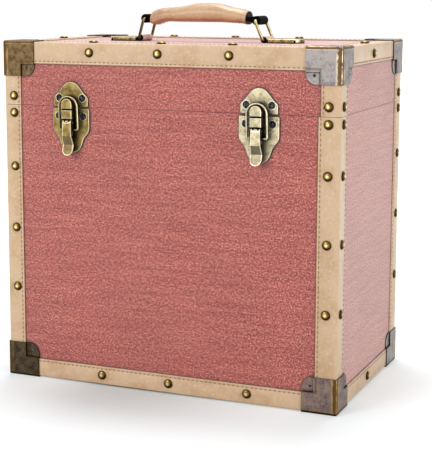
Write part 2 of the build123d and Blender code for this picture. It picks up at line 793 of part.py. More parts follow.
def handle_core():
    """The black strip through the grip, with an eye round the top bar of each ring."""
    low, high = core_lift - core_thickness / 2, core_lift + core_thickness / 2
    inner = core_reach - eye_radius
    strip = block(-inner, inner, -core_half_width, core_half_width, low, high)
    strip += core_eye(-1, eye_fit_left) + core_eye(1, eye_fit_right)
    return grip_frame.location * strip


def handle_grip():
    """The padded leather grip, humped in the middle, with a slot for the core strip."""
    sections = []
    for x, low, high, w in grip_stations:
        plane = Plane(origin=(x, 0, (low + high) / 2), x_dir=(0, 1, 0), z_dir=(1, 0, 0))
        sections.append(plane * Ellipse(w, (high - low) / 2))
    reach = core_half_width + core_fit
    half_slot = core_thickness / 2 + core_fit
    slot = block(-far, far, -reach, reach, core_lift - half_slot, core_lift + half_slot)
    return grip_frame.location * (loft(sections) - slot)


# ------------------------------------------------------------------ the whole case
def save_box(prefix, panels, fixings, lining, cloth, bindings):
    """Write the boards, cloth, lining and bindings; fixings are places, radius and length."""
    groups = [shank_holes(*fixing) for fixing in fixings]
    stud_holes, holes = groups[0], sum(groups, [])
    for name, panel in panels.items():
        save(f"{prefix}_{name}_panel", cut_near(panel, holes))
    save(f"{prefix}_cloth_cover", cut_near(cloth, holes))
    save(f"{prefix}_lining", lining)
    for name, strips in bindings.items():
        save(f"{prefix}_{name}_bindings", *[cut_near(strip, stud_holes) for strip in strips])


def save_fasteners(name, places, fastener):
    """Write one group of like fasteners."""
    save(name, *[place.location * fastener for place in places])


def make_base():
    """Everything that stays with the base, apart from its latches and hinges."""
    studs, nails = base_stud_places(), cap_nail_places(top=False)
    latch_screws = latch_screw_places(base_screw_spread, -base_screw_drop)
    fixings = [
        (studs, stud_shank_radius, nail_reach),
        (nails, cap_nail_radius, cap_nail_reach),
        (hinge_screw_places(-1), screw_radius, hinge_screw_length),
        (latch_screws, screw_radius, latch_screw_length),
    ]
    panels = wall_panels(skin, rim_low)
    floor_top = skin + panel_thickness
    panels["floor"] = block(-inside_x, inside_x, -inside_y, inside_y, skin, floor_top)
    cloth = tray(half_width - binding_thickness, cloth_y, binding_thickness, rim_low, cloth_thickness)
    lining = tray(inside_x, inside_y, floor_top, rim_low, lining_thickness)
    bindings = {
        "corner": corner_bindings(0, rim_low, corner_flange_right),
        "bottom": level_bindings(bottom_flange, bottom_flange, corner_flange_right, top=False),
    }
    save_box("base", panels, fixings, lining, cloth, bindings)
    save("base_locating_lip", *locating_lip())
    nail_holes = shank_holes(*fixings[1])
    for name, cap in corner_caps(False, corner_flange_right).items():
        save(name, cut_near(cap, nail_holes))
    save_fasteners("base_studs", studs, big_nail)
    save_fasteners("base_cap_nails", nails, small_nail)


def make_lid():
    """Everything that lifts with the lid, apart from its latches, hinges and handle."""
    studs, nails = lid_stud_places(), cap_nail_places(top=True)
    latch_screws = latch_screw_places(latch_screw_spread, strike_screw_rise)
    fixings = [
        (studs, stud_shank_radius, nail_reach),
        (nails, cap_nail_radius, cap_nail_reach),
        (hinge_screw_places(1), screw_radius, hinge_screw_length),
        (latch_screws, screw_radius, latch_screw_length),
        (handle_screw_places(), screw_radius, handle_screw_length),
    ]
    panels = wall_panels(rim_high, case_height - skin)
    ceiling = case_height - skin - panel_thickness
    panels["top"] = block(-inside_x, inside_x, -inside_y, inside_y, ceiling, case_height - skin)
    cloth = tray(half_width - binding_thickness, cloth_y, cloth_top, rim_high, cloth_thickness)
    lining = tray(inside_x, inside_y, ceiling, rim_high, lining_thickness)
    bindings = {
        "corner": corner_bindings(rim_high, case_height, lid_corner_flange_right),
        "top": level_bindings(top_flange, top_flange_end, lid_corner_flange_right, top=True),
    }
    save_box("lid", panels, fixings, lining, cloth, bindings)
    nail_holes = shank_holes(*fixings[1])
    for name, cap in corner_caps(True, lid_corner_flange_right).items():
        save(name, cut_near(cap, nail_holes))
    save_fasteners("lid_studs", studs, big_nail)
    save_fasteners("lid_cap_nails", nails, small_nail)


def make_latches():
    """Both toggle latches: plates, pins, levers, bails and their screws."""
    strike_screws = latch_screw_places(latch_screw_spread, strike_screw_rise)
    base_screws = latch_screw_places(base_screw_spread, -base_screw_drop)
    cuts = shank_holes(strike_screws + base_screws, screw_radius, latch_screw_length)
    cuts += counterbores(strike_screws + base_screws, screw_head_radius, screw_head_height)
    pieces = {
        "latch_strike_plate": strike_plate(),
        "latch_base_plate": latch_base_plate(),
        "latch_pivot_pin": pivot_pin(),
        "latch_lever": lever(),
        "latch_bail": bail(),
    }
    for side, middle in latch_places:
        for name, piece in pieces.items():
            placed = latch_frame(middle).location * piece
            save(f"{side}_{name}", cut_near(placed, cuts) if name.endswith("plate") else placed)
    save_fasteners("lid_latch_screws", strike_screws, latch_screw)
    save_fasteners("base_latch_screws", base_screws, latch_screw)


def make_hinges():
    """Both back hinges, with their pins and screws."""
    for name, middle in (("left", -hinge_spread), ("right", hinge_spread)):
        save(f"{name}_hinge_base_leaf", hinge_leaf(middle, -1))
        save(f"{name}_hinge_lid_leaf", hinge_leaf(middle, 1))
    save("hinge_pins", hinge_pin(-hinge_spread), hinge_pin(hinge_spread))
    save_fasteners("base_hinge_screws", hinge_screw_places(-1), hinge_screw)
    save_fasteners("lid_hinge_screws", hinge_screw_places(1), hinge_screw)


def make_handle():
    """The handle: grip, core, rings, straps, brass plates and screws."""
    places = handle_screw_places()
    holes = shank_holes(places, screw_radius, handle_screw_length)
    holes += counterbores(places, screw_head_radius, screw_head_height)
    for name, side, lean_in in (("left", -1, left_ring_lean), ("right", 1, right_ring_lean)):
        save(f"handle_{name}_ring", handle_side(handle_ring(lean_in), side))
        save(f"handle_{name}_chape", cut_near(handle_side(chape(), side), holes))
        save(f"handle_{name}_plate", cut_near(handle_side(handle_plate(), side), holes))
    save("handle_core", handle_core())
    save("handle_grip", handle_grip())
    save_fasteners("handle_plate_screws", places, handle_screw)


big_nail = dome_nail(stud_radius, stud_height, stud_shank_radius, nail_reach)
small_nail = dome_nail(
    cap_nail_head_radius, cap_nail_head_height, cap_nail_radius, cap_nail_reach
)
latch_screw = cross_screw(screw_head_radius, screw_head_height, latch_screw_length)
hinge_screw = cross_screw(hinge_screw_head_radius, hinge_screw_head_height, hinge_screw_length)
handle_screw = cross_screw(screw_head_radius, screw_head_height, handle_screw_length)

os.makedirs("parts", exist_ok=True)
make_base()
make_lid()
make_latches()
make_hinges()
make_handle()
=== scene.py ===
"""The looks of a record carrying case: cloth, stitched bindings, antiqued hardware and a leather handle.

Lengths are metres in the frame's own coordinates: x to the right, y to the back, z up. The helper mm()
turns millimetres into metres, because the case's small hardware is measured in millimetres.
"""

import logging
import math
from dataclasses import dataclass, field
from enum import Enum
from typing import Optional, Sequence, Union

import bmesh
import bpy
from mathutils import Matrix, Vector, noise


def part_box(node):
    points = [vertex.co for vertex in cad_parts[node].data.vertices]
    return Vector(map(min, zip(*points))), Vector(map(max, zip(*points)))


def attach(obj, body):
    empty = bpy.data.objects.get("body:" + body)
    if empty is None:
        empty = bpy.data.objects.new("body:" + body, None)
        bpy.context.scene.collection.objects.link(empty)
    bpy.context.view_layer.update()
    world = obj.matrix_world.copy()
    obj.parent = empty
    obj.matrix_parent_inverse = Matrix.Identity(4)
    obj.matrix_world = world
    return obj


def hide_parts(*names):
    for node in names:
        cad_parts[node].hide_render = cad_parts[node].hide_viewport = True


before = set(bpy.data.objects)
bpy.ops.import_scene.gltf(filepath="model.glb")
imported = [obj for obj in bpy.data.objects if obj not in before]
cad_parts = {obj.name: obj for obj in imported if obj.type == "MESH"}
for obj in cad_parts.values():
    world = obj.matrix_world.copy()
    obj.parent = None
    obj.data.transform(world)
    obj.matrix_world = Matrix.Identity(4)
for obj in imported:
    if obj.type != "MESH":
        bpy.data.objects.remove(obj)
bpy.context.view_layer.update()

log = logging.getLogger("record_case")
Pair = tuple[float, float]
Triple = tuple[float, float, float]
Value = Union[float, Sequence[float], "Field"]
Socket = Union[str, int]
NOISE_RANGE: Pair = (0.3, 0.7)
CLOUDY: Pair = (4.0, 0.6)
SPECKLED: Pair = (3.0, 0.6)


def mm(length: float) -> float:
    """Millimetres as metres."""
    return length / 1000.0


NODE_WELD = mm(0.002)
PIECE_WELD = mm(0.001)


def srgb(code: int) -> Triple:
    """Turn a screen colour such as 0xFF8000 into the linear colour that a shader takes."""
    parts = [(code >> shift & 255) / 255.0 for shift in (16, 8, 0)]
    return tuple(part / 12.92 if part <= 0.04045 else ((part + 0.055) / 1.055) ** 2.4 for part in parts)


def case_box() -> tuple[Vector, Vector]:
    """The lowest and highest corner of the case's body, over its bindings."""
    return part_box("base_corner_bindings")[0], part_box("lid_corner_bindings")[1]


# ------------------------------------------------------------------ writing materials
class Field:
    """A value that varies over a surface. Sums on it write the nodes that work them out."""

    def __init__(self, tree: "Nodes", socket: bpy.types.NodeSocket) -> None:
        """Stand for the output of one of a tree's nodes."""
        self.tree = tree
        self.socket = socket

    def __add__(self, other: Value) -> "Field":
        """This and another value."""
        return self.tree.math("ADD", self, other)

    def __sub__(self, other: Value) -> "Field":
        """This less another value."""
        return self.tree.math("SUBTRACT", self, other)

    def __rsub__(self, other: float) -> "Field":
        """A number less this."""
        return self.tree.math("SUBTRACT", other, self)

    def __mul__(self, other: Value) -> "Field":
        """This times another value."""
        return self.tree.math("MULTIPLY", self, other)

    def __abs__(self) -> "Field":
        """This without its sign."""
        return self.tree.math("ABSOLUTE", self)


@dataclass(frozen=True)
class Grain:
    """How coarse a noise is, how many finer layers it has, and how strong they are."""

    size: float
    detail: float = 2.0
    rough: float = 0.5


class Nodes:
    """Writes nodes into one node tree."""

    def __init__(self, tree: bpy.types.NodeTree) -> None:
        """Start with a tree."""
        self.nodes = tree.nodes
        self.links = tree.links

    def set(self, node: bpy.types.Node, socket: Socket, value: Value) -> None:
        """Give an input a value, or link it to a field. A colour may be a screen colour's code."""
        target = node.inputs[socket]
        if isinstance(value, Field):
            self.links.new(value.socket, target)
        elif target.type == "RGBA":
            target.default_value = (*(srgb(value) if isinstance(value, int) else value), 1.0)
        else:
            target.default_value = value

    def node(self, kind: str, inputs: dict[Socket, Value], output: Socket = 0, **settings: object) -> Field:
        """Add a node.

        Args:
            kind: The last part of its type's name.
            inputs: What its inputs are set to.
            output: The output that is wanted.
            settings: Its other settings.

        Returns:
            That output.
        """
        made = self.nodes.new(f"ShaderNode{kind}")
        for key, value in settings.items():
            setattr(made, key, value)
        for socket, value in inputs.items():
            self.set(made, socket, value)
        return Field(self, made.outputs[output])

    def math(self, operation: str, a: Value, b: Value = 0.0) -> Field:
        """The result of an operation on one or two values."""
        return self.node("Math", {0: a, 1: b}, operation=operation)

    def fold(self, operation: str, values: Sequence[Value]) -> Field:
        """The result of an operation carried along several values."""
        result = values[0]
        for value in values[1:]:
            result = self.math(operation, result, value)
        return result

    def split(self, vector: Field) -> list[Field]:
        """The x, y and z of a vector."""
        return [self.node("SeparateXYZ", {0: vector}, axis) for axis in range(3)]

    def join(self, x: Value, y: Value, z: Value) -> Field:
        """A vector from its x, y and z."""
        return self.node("CombineXYZ", {0: x, 1: y, 2: z})

    def wave(self, value: Field, pitch: float) -> Field:
        """A sine that repeats at a pitch."""
        return self.math("SINE", value * (2 * math.pi / pitch))

    def step(self, value: Value, low: float, high: float) -> Field:
        """A smooth step: 0 at low and 1 at high, which may be the smaller of the two."""
        return self.node("MapRange", {0: value, 1: low, 2: high}, interpolation_type="SMOOTHSTEP")

    def span(self, value: Value, low: float, high: float, at_low: float, at_high: float) -> Field:
        """A straight line from at_low at low to at_high at high, held beyond them."""
        return self.node("MapRange", dict(enumerate((value, low, high, at_low, at_high))), clamp=True)

    def swing(self, value: Value, at_low: float, at_high: float) -> Field:
        """A straight line over the values that noise mostly takes."""
        return self.span(value, *NOISE_RANGE, at_low, at_high)


class Shader(Nodes):
    """One material round a single Principled shader."""

    def __init__(self, name: str, **uniform: Value) -> None:
        """Make the material.

        Args:
            name: The finish's name.
            uniform: Values that are the same all over, set on the shader's own sockets.
        """
        self.material = bpy.data.materials.new(name)
        self.material.use_nodes = True
        super().__init__(self.material.node_tree)
        self.bsdf = self.nodes["Principled BSDF"]
        for key, value in uniform.items():
            self.set(self.bsdf, key.replace("_", " ").title().replace("Ior", "IOR"), value)
        self.place = self.node("TexCoord", {}, "Object")
        self.normal = self.split(self.node("TexCoord", {}, "Normal"))

    def noise(self, grain: Grain, place: Optional[Field] = None) -> Field:
        """Cloudy noise from 0 to 1, looked up at a place, or at the point itself."""
        inputs = {"Scale": 1 / grain.size, "Detail": grain.detail, "Roughness": grain.rough}
        return self.node("TexNoise", {"Vector": place or self.place, **inputs}, "Fac")

    def mix(self, amount: Value, a: Value, b: Value, blend: str = "MIX") -> Field:
        """Blend two colours."""
        inputs = {0: amount, 6: a, 7: b}
        return self.node("Mix", inputs, 2, data_type="RGBA", blend_type=blend, clamp_result=True)

    def scale(self, colour: Value, factor: Value) -> Field:
        """Darken or lighten a colour by a factor."""
        return self.mix(1.0, colour, self.join(factor, factor, factor), "MULTIPLY")

    def edge_band(self, low: float, high: float) -> Field:
        """1 where the surface turns between two main directions, as on rounded edges, and 0 on flats."""
        return self.step(self.fold("MAXIMUM", [abs(part) for part in self.normal]), high, low)

    def cavity(self, reach: float) -> Field:
        """1 in the open, falling to 0 in crevices narrower than a reach: used to paint shade there, and on
        metal patina too.
        """
        return self.node("AmbientOcclusion", {"Distance": reach}, "AO", samples=6)

    def wear(self, reach: float, none: float = 0.99, full: float = 0.9) -> Field:
        """1 along edges and corners, out to a reach, where handling rubs them."""
        rounded = self.node("Bevel", {"Radius": reach}, samples=6)
        flat = self.node("NewGeometry", {}, "Normal")
        turned = self.node("VectorMath", {0: rounded, 1: flat}, "Value", operation="DOT_PRODUCT")
        return self.step(turned, none, full)

    def bump(self, height: Value, distance: float, strength: float) -> Field:
        """Raise the surface by a height from 0 to 1 times a distance."""
        return self.node("Bump", {"Height": height, "Distance": distance, "Strength": strength})

    def finish(self, colour: Value, rough: Value, normal: Field) -> bpy.types.Material:
        """Link what varies over the surface and return the material."""
        for key, value in (("Base Color", colour), ("Roughness", rough), ("Normal", normal)):
            self.set(self.bsdf, key, value)
        return self.material


@dataclass(frozen=True)
class SlubCloth:
    """Twill cloth with uneven threads, stuck over the boards."""

    name: str = "rose_slub_cloth"
    base: int = 0xB04F45
    shade: int = 0x68161C
    light: int = 0xE49484
    # Colour of the painted sheen on faces seen edge-on.
    painted_sheen: int = 0xFFCEC4
    gloss: float = 0.4
    rough: float = 0.62
    level_steps: Pair = (0.4, 0.6)
    fine: Grain = Grain(mm(1.6), 2.0, 0.75)
    fine_share: float = 0.8
    slub: Grain = Grain(mm(1.4), 1.0, 0.6)
    slub_length: float = mm(5.0)
    streak: Grain = Grain(mm(5.0))
    streak_length: float = mm(60.0)
    streak_swing: float = 0.025
    twill_pitch: float = mm(2.2)
    twill_slope: float = 0.8
    twill_swing: float = 0.05
    twill_wander: Grain = Grain(mm(9.0))
    twill_patches: Grain = Grain(mm(16.0))
    patch_steps: Pair = (0.35, 0.6)
    shade_steps: Pair = (0.51, 0.37)
    light_steps: Pair = (0.5, 0.64)
    cloud: Grain = Grain(mm(70.0))
    cloud_swing: float = 0.05
    painted_sheen_facing: Pair = (0.34, 0.66)
    painted_sheen_most: float = 0.4
    painted_sheen_range: Pair = (0.4, 0.6)
    painted_sheen_threads: Pair = (0.4, 1.6)
    # Painted shade where the bindings and hardware hem the cloth in.
    seam_shade_reach: float = mm(3.5)
    seam_shade_steps: Pair = (0.64, 0.96)
    seam_shade_dark: float = 0.08
    thread_pitch: float = mm(1.0)
    thread_relief: float = 0.2
    relief: float = mm(0.5)
    relief_strength: float = 0.6

    def weave(self, s: Shader) -> tuple[Field, Field, Field]:
        """How far a point is along the weft and across it, and whether it is on a level face."""
        x, y, z = s.split(s.place)
        flat = s.step(abs(s.normal[2]), *self.level_steps)
        wall = 1.0 - flat
        return x + y * wall, z * wall + y * flat, flat

    def threads(self, s: Shader, along: Field, across: Field, flat: Field) -> Field:
        """How light each thread is, round 0.5: grain and slubs, with streaks and patches of twill."""
        def stretched(grain: Grain, length: float) -> Field:
            """Noise drawn out along the weft."""
            return s.noise(grain, s.join(along * (grain.size / length), across, flat))
        grain = stretched(self.fine, self.fine.size) * self.fine_share
        slubs = stretched(self.slub, self.slub_length) * (1 - self.fine_share)
        streaks = s.swing(stretched(self.streak, self.streak_length), -self.streak_swing, self.streak_swing)
        slant = along * self.twill_slope + across + s.noise(self.twill_wander) * (self.twill_pitch * 2)
        patches = s.step(s.noise(self.twill_patches), *self.patch_steps)
        return grain + slubs + streaks + s.wave(slant, self.twill_pitch) * patches * self.twill_swing

    def material(self) -> bpy.types.Material:
        """Build the material."""
        s = Shader(
            self.name, sheen_weight=0.5, sheen_roughness=0.5, sheen_tint=(1.0, 0.94, 0.93),
            specular_ior_level=0.5, coat_weight=self.gloss, coat_roughness=0.6,
        )
        along, across, flat = self.weave(s)
        thread = self.threads(s, along, across, flat)
        colour = s.mix(s.step(thread, *self.shade_steps), self.base, self.shade)
        colour = s.mix(s.step(thread, *self.light_steps), colour, self.light)
        # Painted sheen: a pale colour mixed in where the cloth is seen edge-on, standing in for light
        # glancing off its fibres, stronger on its lighter threads.
        painted_sheen = s.span(s.node("LayerWeight", {}, "Facing"), *self.painted_sheen_facing, 0.0, self.painted_sheen_most)
        colour = s.mix(painted_sheen * s.span(thread, *self.painted_sheen_range, *self.painted_sheen_threads), colour, self.painted_sheen)
        # Painted shade: the cloth darkens towards the bindings and hardware that stand over it, while the
        # broad tone itself varies at random.
        seam_shade = s.span(s.cavity(self.seam_shade_reach), *self.seam_shade_steps, self.seam_shade_dark, 1.0)
        tone_and_shade = s.swing(s.noise(self.cloud), 1 - self.cloud_swing, 1 + self.cloud_swing) * seam_shade
        crossings = s.wave(along, self.thread_pitch) * s.wave(across, self.thread_pitch)
        height = crossings * self.thread_relief + thread
        return s.finish(s.scale(colour, tone_and_shade), self.rough, s.bump(height, self.relief, self.relief_strength))


@dataclass(frozen=True)
class Leather:
    """Leather or leatherette with a fine grain and, where it is inked, black cut ends on one axis."""

    name: str
    base: int
    shade: int
    light: int
    grain: float = mm(0.8)
    rough: float = 0.42
    rough_swing: Pair = (-0.07, 0.1)
    relief: float = mm(0.12)
    relief_strength: float = 0.5
    cloud: Grain = Grain(mm(24.0), *CLOUDY)
    cloud_steps: Pair = (0.58, 0.32)
    fleck: Grain = Grain(mm(3.5), 3.0, 0.65)
    fleck_steps: Pair = (0.5, 0.72)
    fleck_most: float = 0.55
    fleck_relief: float = 1.5
    pore_width: float = 0.18
    # Painted shade where other parts hem the leather in: how dark it gets, how far it reaches, and over which
    # openness.
    pore_dark: float = 0.92
    crevice_shade: float = 0.55
    crevice_shade_reach: float = mm(2.0)
    crevice_shade_steps: Pair = (0.35, 0.95)
    gloss: float = 0.5
    inked: Optional[int] = None
    ink: int = 0x100B09
    ink_steps: Pair = (0.75, 0.92)
    ink_specular: float = 0.05

    def material(self) -> bpy.types.Material:
        """Build the material."""
        s = Shader(self.name, specular_ior_level=self.gloss, coat_weight=self.gloss, coat_roughness=0.3)
        fleck = s.noise(self.fleck)
        inputs = {"Vector": s.place, "Scale": 1 / self.grain}
        cells = s.node("TexVoronoi", inputs, "Distance", feature="DISTANCE_TO_EDGE")
        pore = s.step(cells, 0.0, self.pore_width)
        colour = s.mix(s.step(s.noise(self.cloud), *self.cloud_steps), self.base, self.shade)
        colour = s.mix(s.step(fleck, *self.fleck_steps) * self.fleck_most, colour, self.light)
        # Painted shade: the leather darkens beside caps, cloth edges and other parts that close it in.
        crevice_shading = s.span(s.cavity(self.crevice_shade_reach), *self.crevice_shade_steps, self.crevice_shade, 1.0)
        colour = s.scale(colour, s.span(pore, 0.0, 1.0, self.pore_dark, 1.0) * crevice_shading)
        if self.inked is not None:
            ink = s.step(abs(s.normal[self.inked]), *self.ink_steps)
            colour = s.mix(ink, colour, self.ink)
            s.set(s.bsdf, "Coat Weight", s.span(ink, 0.0, 1.0, self.gloss, 0.0))
            s.set(s.bsdf, "Specular IOR Level", s.span(ink, 0.0, 1.0, self.gloss, self.ink_specular))
        rough = s.swing(fleck, *(self.rough + part for part in self.rough_swing))
        height = pore + fleck * self.fleck_relief
        return s.finish(colour, rough, s.bump(height, self.relief, self.relief_strength))


@dataclass(frozen=True)
class AntiqueMetal:
    """Plated metal with a dark patina that is rubbed off its edges and stays in its crevices, with painted
    shade deepening its hollows and its downward faces.
    """

    name: str
    bright: int
    base: int
    patina: int
    # Dark brown of the painted shade on faces turned away from the light.
    painted_shade_colour: int = 0x3E280A
    hollow_patina_and_shade: int = 0x140D08
    dirt: float = 0.5
    dirt_reach: float = 0.12
    patina_steps: Pair = (0.54, 0.26)
    blotch: float = mm(6.0)
    blotch_share: float = 0.6
    speck: float = 0.2
    rough: float = 0.38
    rough_swing: Pair = (0.14, -0.05)
    # Patina in the hollows, deepened by painted shade that reaches across gaps as wide as this.
    crevice_shade: float = mm(16.0)
    crevice_shade_steps: Pair = (0.88, 0.64)
    crevice_rough: float = 0.3
    rub: float = mm(1.5)
    rub_turn: Pair = (0.75, 0.97)
    rub_stain: Pair = (0.32, 0.55)
    rub_least: float = 0.6
    # Painted shade on faces turned downwards, and on latches on faces turned upwards.
    downward_shade: float = 0.8
    downward_shade_steps: Pair = (-0.06, -0.3)
    upward_shade: float = 0.0
    upward_shade_steps: Pair = (0.15, 0.32)
    relief: float = mm(0.15)
    relief_strength: float = 0.4

    def stain(self, s: Shader) -> Field:
        """How blotchy the plating is, from 0 to 1."""
        fine = s.noise(Grain(self.blotch * self.speck, *SPECKLED))
        return s.noise(Grain(self.blotch, *CLOUDY)) * self.blotch_share + fine * (1 - self.blotch_share)

    def material(self) -> bpy.types.Material:
        """Build the material."""
        s = Shader(self.name, metallic=1.0, specular_ior_level=0.5)
        stain = self.stain(s)
        shift = self.dirt_reach * self.dirt
        colour = s.mix(s.step(stain, *(at + shift for at in self.patina_steps)), self.base, self.patina)
        # Painted shade: faces turned down, and on the latches faces turned up, are mixed towards a dark
        # brown.
        painted_shade = s.step(s.normal[2], *self.downward_shade_steps) * self.downward_shade
        painted_shade = painted_shade + s.step(s.normal[2], *self.upward_shade_steps) * self.upward_shade
        colour = self.wear_and_painted_light(s, s.mix(painted_shade, colour, self.painted_shade_colour), stain)
        # Patina with painted shade on top: the metal turns near black wherever nearby parts hem it in, as
        # round a latch's lever and bail.
        hollow_shade = s.step(s.cavity(self.crevice_shade), *self.crevice_shade_steps)
        colour = s.mix(hollow_shade, colour, self.hollow_patina_and_shade)
        rough = s.swing(stain, *(self.rough + part for part in self.rough_swing))
        relief = s.bump(stain, self.relief, self.relief_strength)
        return s.finish(colour, rough + hollow_shade * self.crevice_rough, relief)

    def wear_and_painted_light(self, s: Shader, colour: Field, stain: Field) -> Field:
        """Brighten the metal along its edges."""
        worn = s.math("MAXIMUM", s.wear(self.rub), s.edge_band(*self.rub_turn))
        return s.mix(worn * s.span(stain, *self.rub_stain, self.rub_least, 1.0), colour, self.bright)


@dataclass(frozen=True)
class DomeMetal(AntiqueMetal):
    """A dome nail's metal: a painted highlight on top, patina browning it towards its rim, and painted shade
    below.
    """

    # How far facing up or down shifts the painted highlight and the painted shade.
    lift: float = 0.28
    crown_highlight_steps: Pair = (0.46, 0.12)
    rim_patina_and_shade_steps: Pair = (0.52, 0.84)

    def wear_and_painted_light(self, s: Shader, colour: Field, stain: Field) -> Field:
        """Paint a highlight on the crown, strongest on its upper side, and brown the rim with patina that
        reaches higher on the lower side as painted shade.
        """
        crown = s.node("Attribute", {}, "Fac", attribute_name="rim") - s.normal[2] * self.lift
        colour = s.mix(s.step(crown, *self.crown_highlight_steps), colour, self.bright)
        return s.mix(s.step(crown, *self.rim_patina_and_shade_steps), colour, self.patina)


@dataclass(frozen=True)
class CapMetal(AntiqueMetal):
    """A corner cap's metal: darker brown along the edges of the case, with a lighter line inside that, and a
    painted shadow beside the tab's step.
    """

    # Narrower painted shade in the hollows, and less painted shade on downward faces, than other metal.
    crevice_shade: float = mm(5.0)
    crevice_shade_steps: Pair = (0.93, 0.6)
    downward_shade: float = 0.3
    brown: int = 0x543A1C
    brown_width: float = mm(3.8)
    brown_fade: float = mm(1.4)
    brown_most: float = 0.9
    line_width: float = mm(1.5)
    line_start: float = mm(0.4)
    line_patches: Grain = Grain(mm(9.0))
    line_span: tuple[float, float, float, float] = (0.4, 0.62, 0.1, 0.65)
    # A painted shadow: a brown band at this distance from the case's edges, where the tab's step casts its
    # shade.
    fold: float = mm(20.3)
    step_shadow_half: float = mm(2.3)
    step_shadow_most: float = 0.6
    level_reach: float = mm(1.0)
    level_thinner: float = 0.9
    ragged: float = mm(5.0)
    turn: Pair = (0.78, 0.88)
    bare_steps: Pair = (0.42, 0.56)

    def wear_and_painted_light(self, s: Shader, colour: Field, stain: Field) -> Field:
        """Brown and lighter bands by the distance to the nearest edge of the case, and the painted shadow of
        the tab's step.
        """
        low, high = case_box()
        gaps = []
        for axis, part in enumerate(s.split(s.place)):
            middle, reach = (low[axis] + high[axis]) / 2, (high[axis] - low[axis]) / 2
            gaps.append(reach - abs(part - middle))
        edge = s.fold("ADD", gaps) - s.fold("MINIMUM", gaps) - s.fold("MAXIMUM", gaps)
        # Painted shadow beside the tab's step.
        step_shadow = s.step(abs(edge - self.fold), self.step_shadow_half, 0.0)
        colour = s.mix(step_shadow * self.step_shadow_most, colour, self.brown)
        level = s.step(gaps[2] - edge, self.level_reach, 0.0)
        edge = edge * (level * self.level_thinner + 1.0) + (stain - 0.5) * self.ragged
        width = self.brown_width
        brown = s.step(edge, width, width - self.brown_fade)
        line = s.step(edge, width + self.line_width, width + self.line_start)
        line = line * s.span(s.noise(self.line_patches), *self.line_span)
        colour = s.mix(brown * self.brown_most, s.mix(line, colour, self.bright), self.brown)
        return s.mix(s.edge_band(*self.turn) * s.step(stain, *self.bare_steps), colour, self.bright)


@dataclass(frozen=True)
class Paint:
    """Enamelled or blackened metal, thread or stained board, with a soft mottle."""

    name: str
    base: int
    light: int
    rough: float = 0.35
    rough_swing: Pair = (0.1, -0.05)
    metallic: float = 0.0
    blotch: float = mm(2.5)
    blotch_steps: Pair = (0.5, 0.75)
    gloss: float = 0.5
    turn: Pair = (0.8, 0.97)
    worn_most: float = 0.7
    relief: float = mm(0.06)
    relief_strength: float = 0.3

    def material(self) -> bpy.types.Material:
        """Build the material."""
        s = Shader(self.name, metallic=self.metallic, specular_ior_level=self.gloss)
        cloud = s.noise(Grain(self.blotch, *CLOUDY))
        worn = s.edge_band(*self.turn) * self.worn_most
        amount = s.math("MAXIMUM", s.step(cloud, *self.blotch_steps), worn)
        rough = s.swing(cloud, *(self.rough + part for part in self.rough_swing))
        colour = s.mix(amount, self.base, self.light)
        return s.finish(colour, rough, s.bump(cloud, self.relief, self.relief_strength))


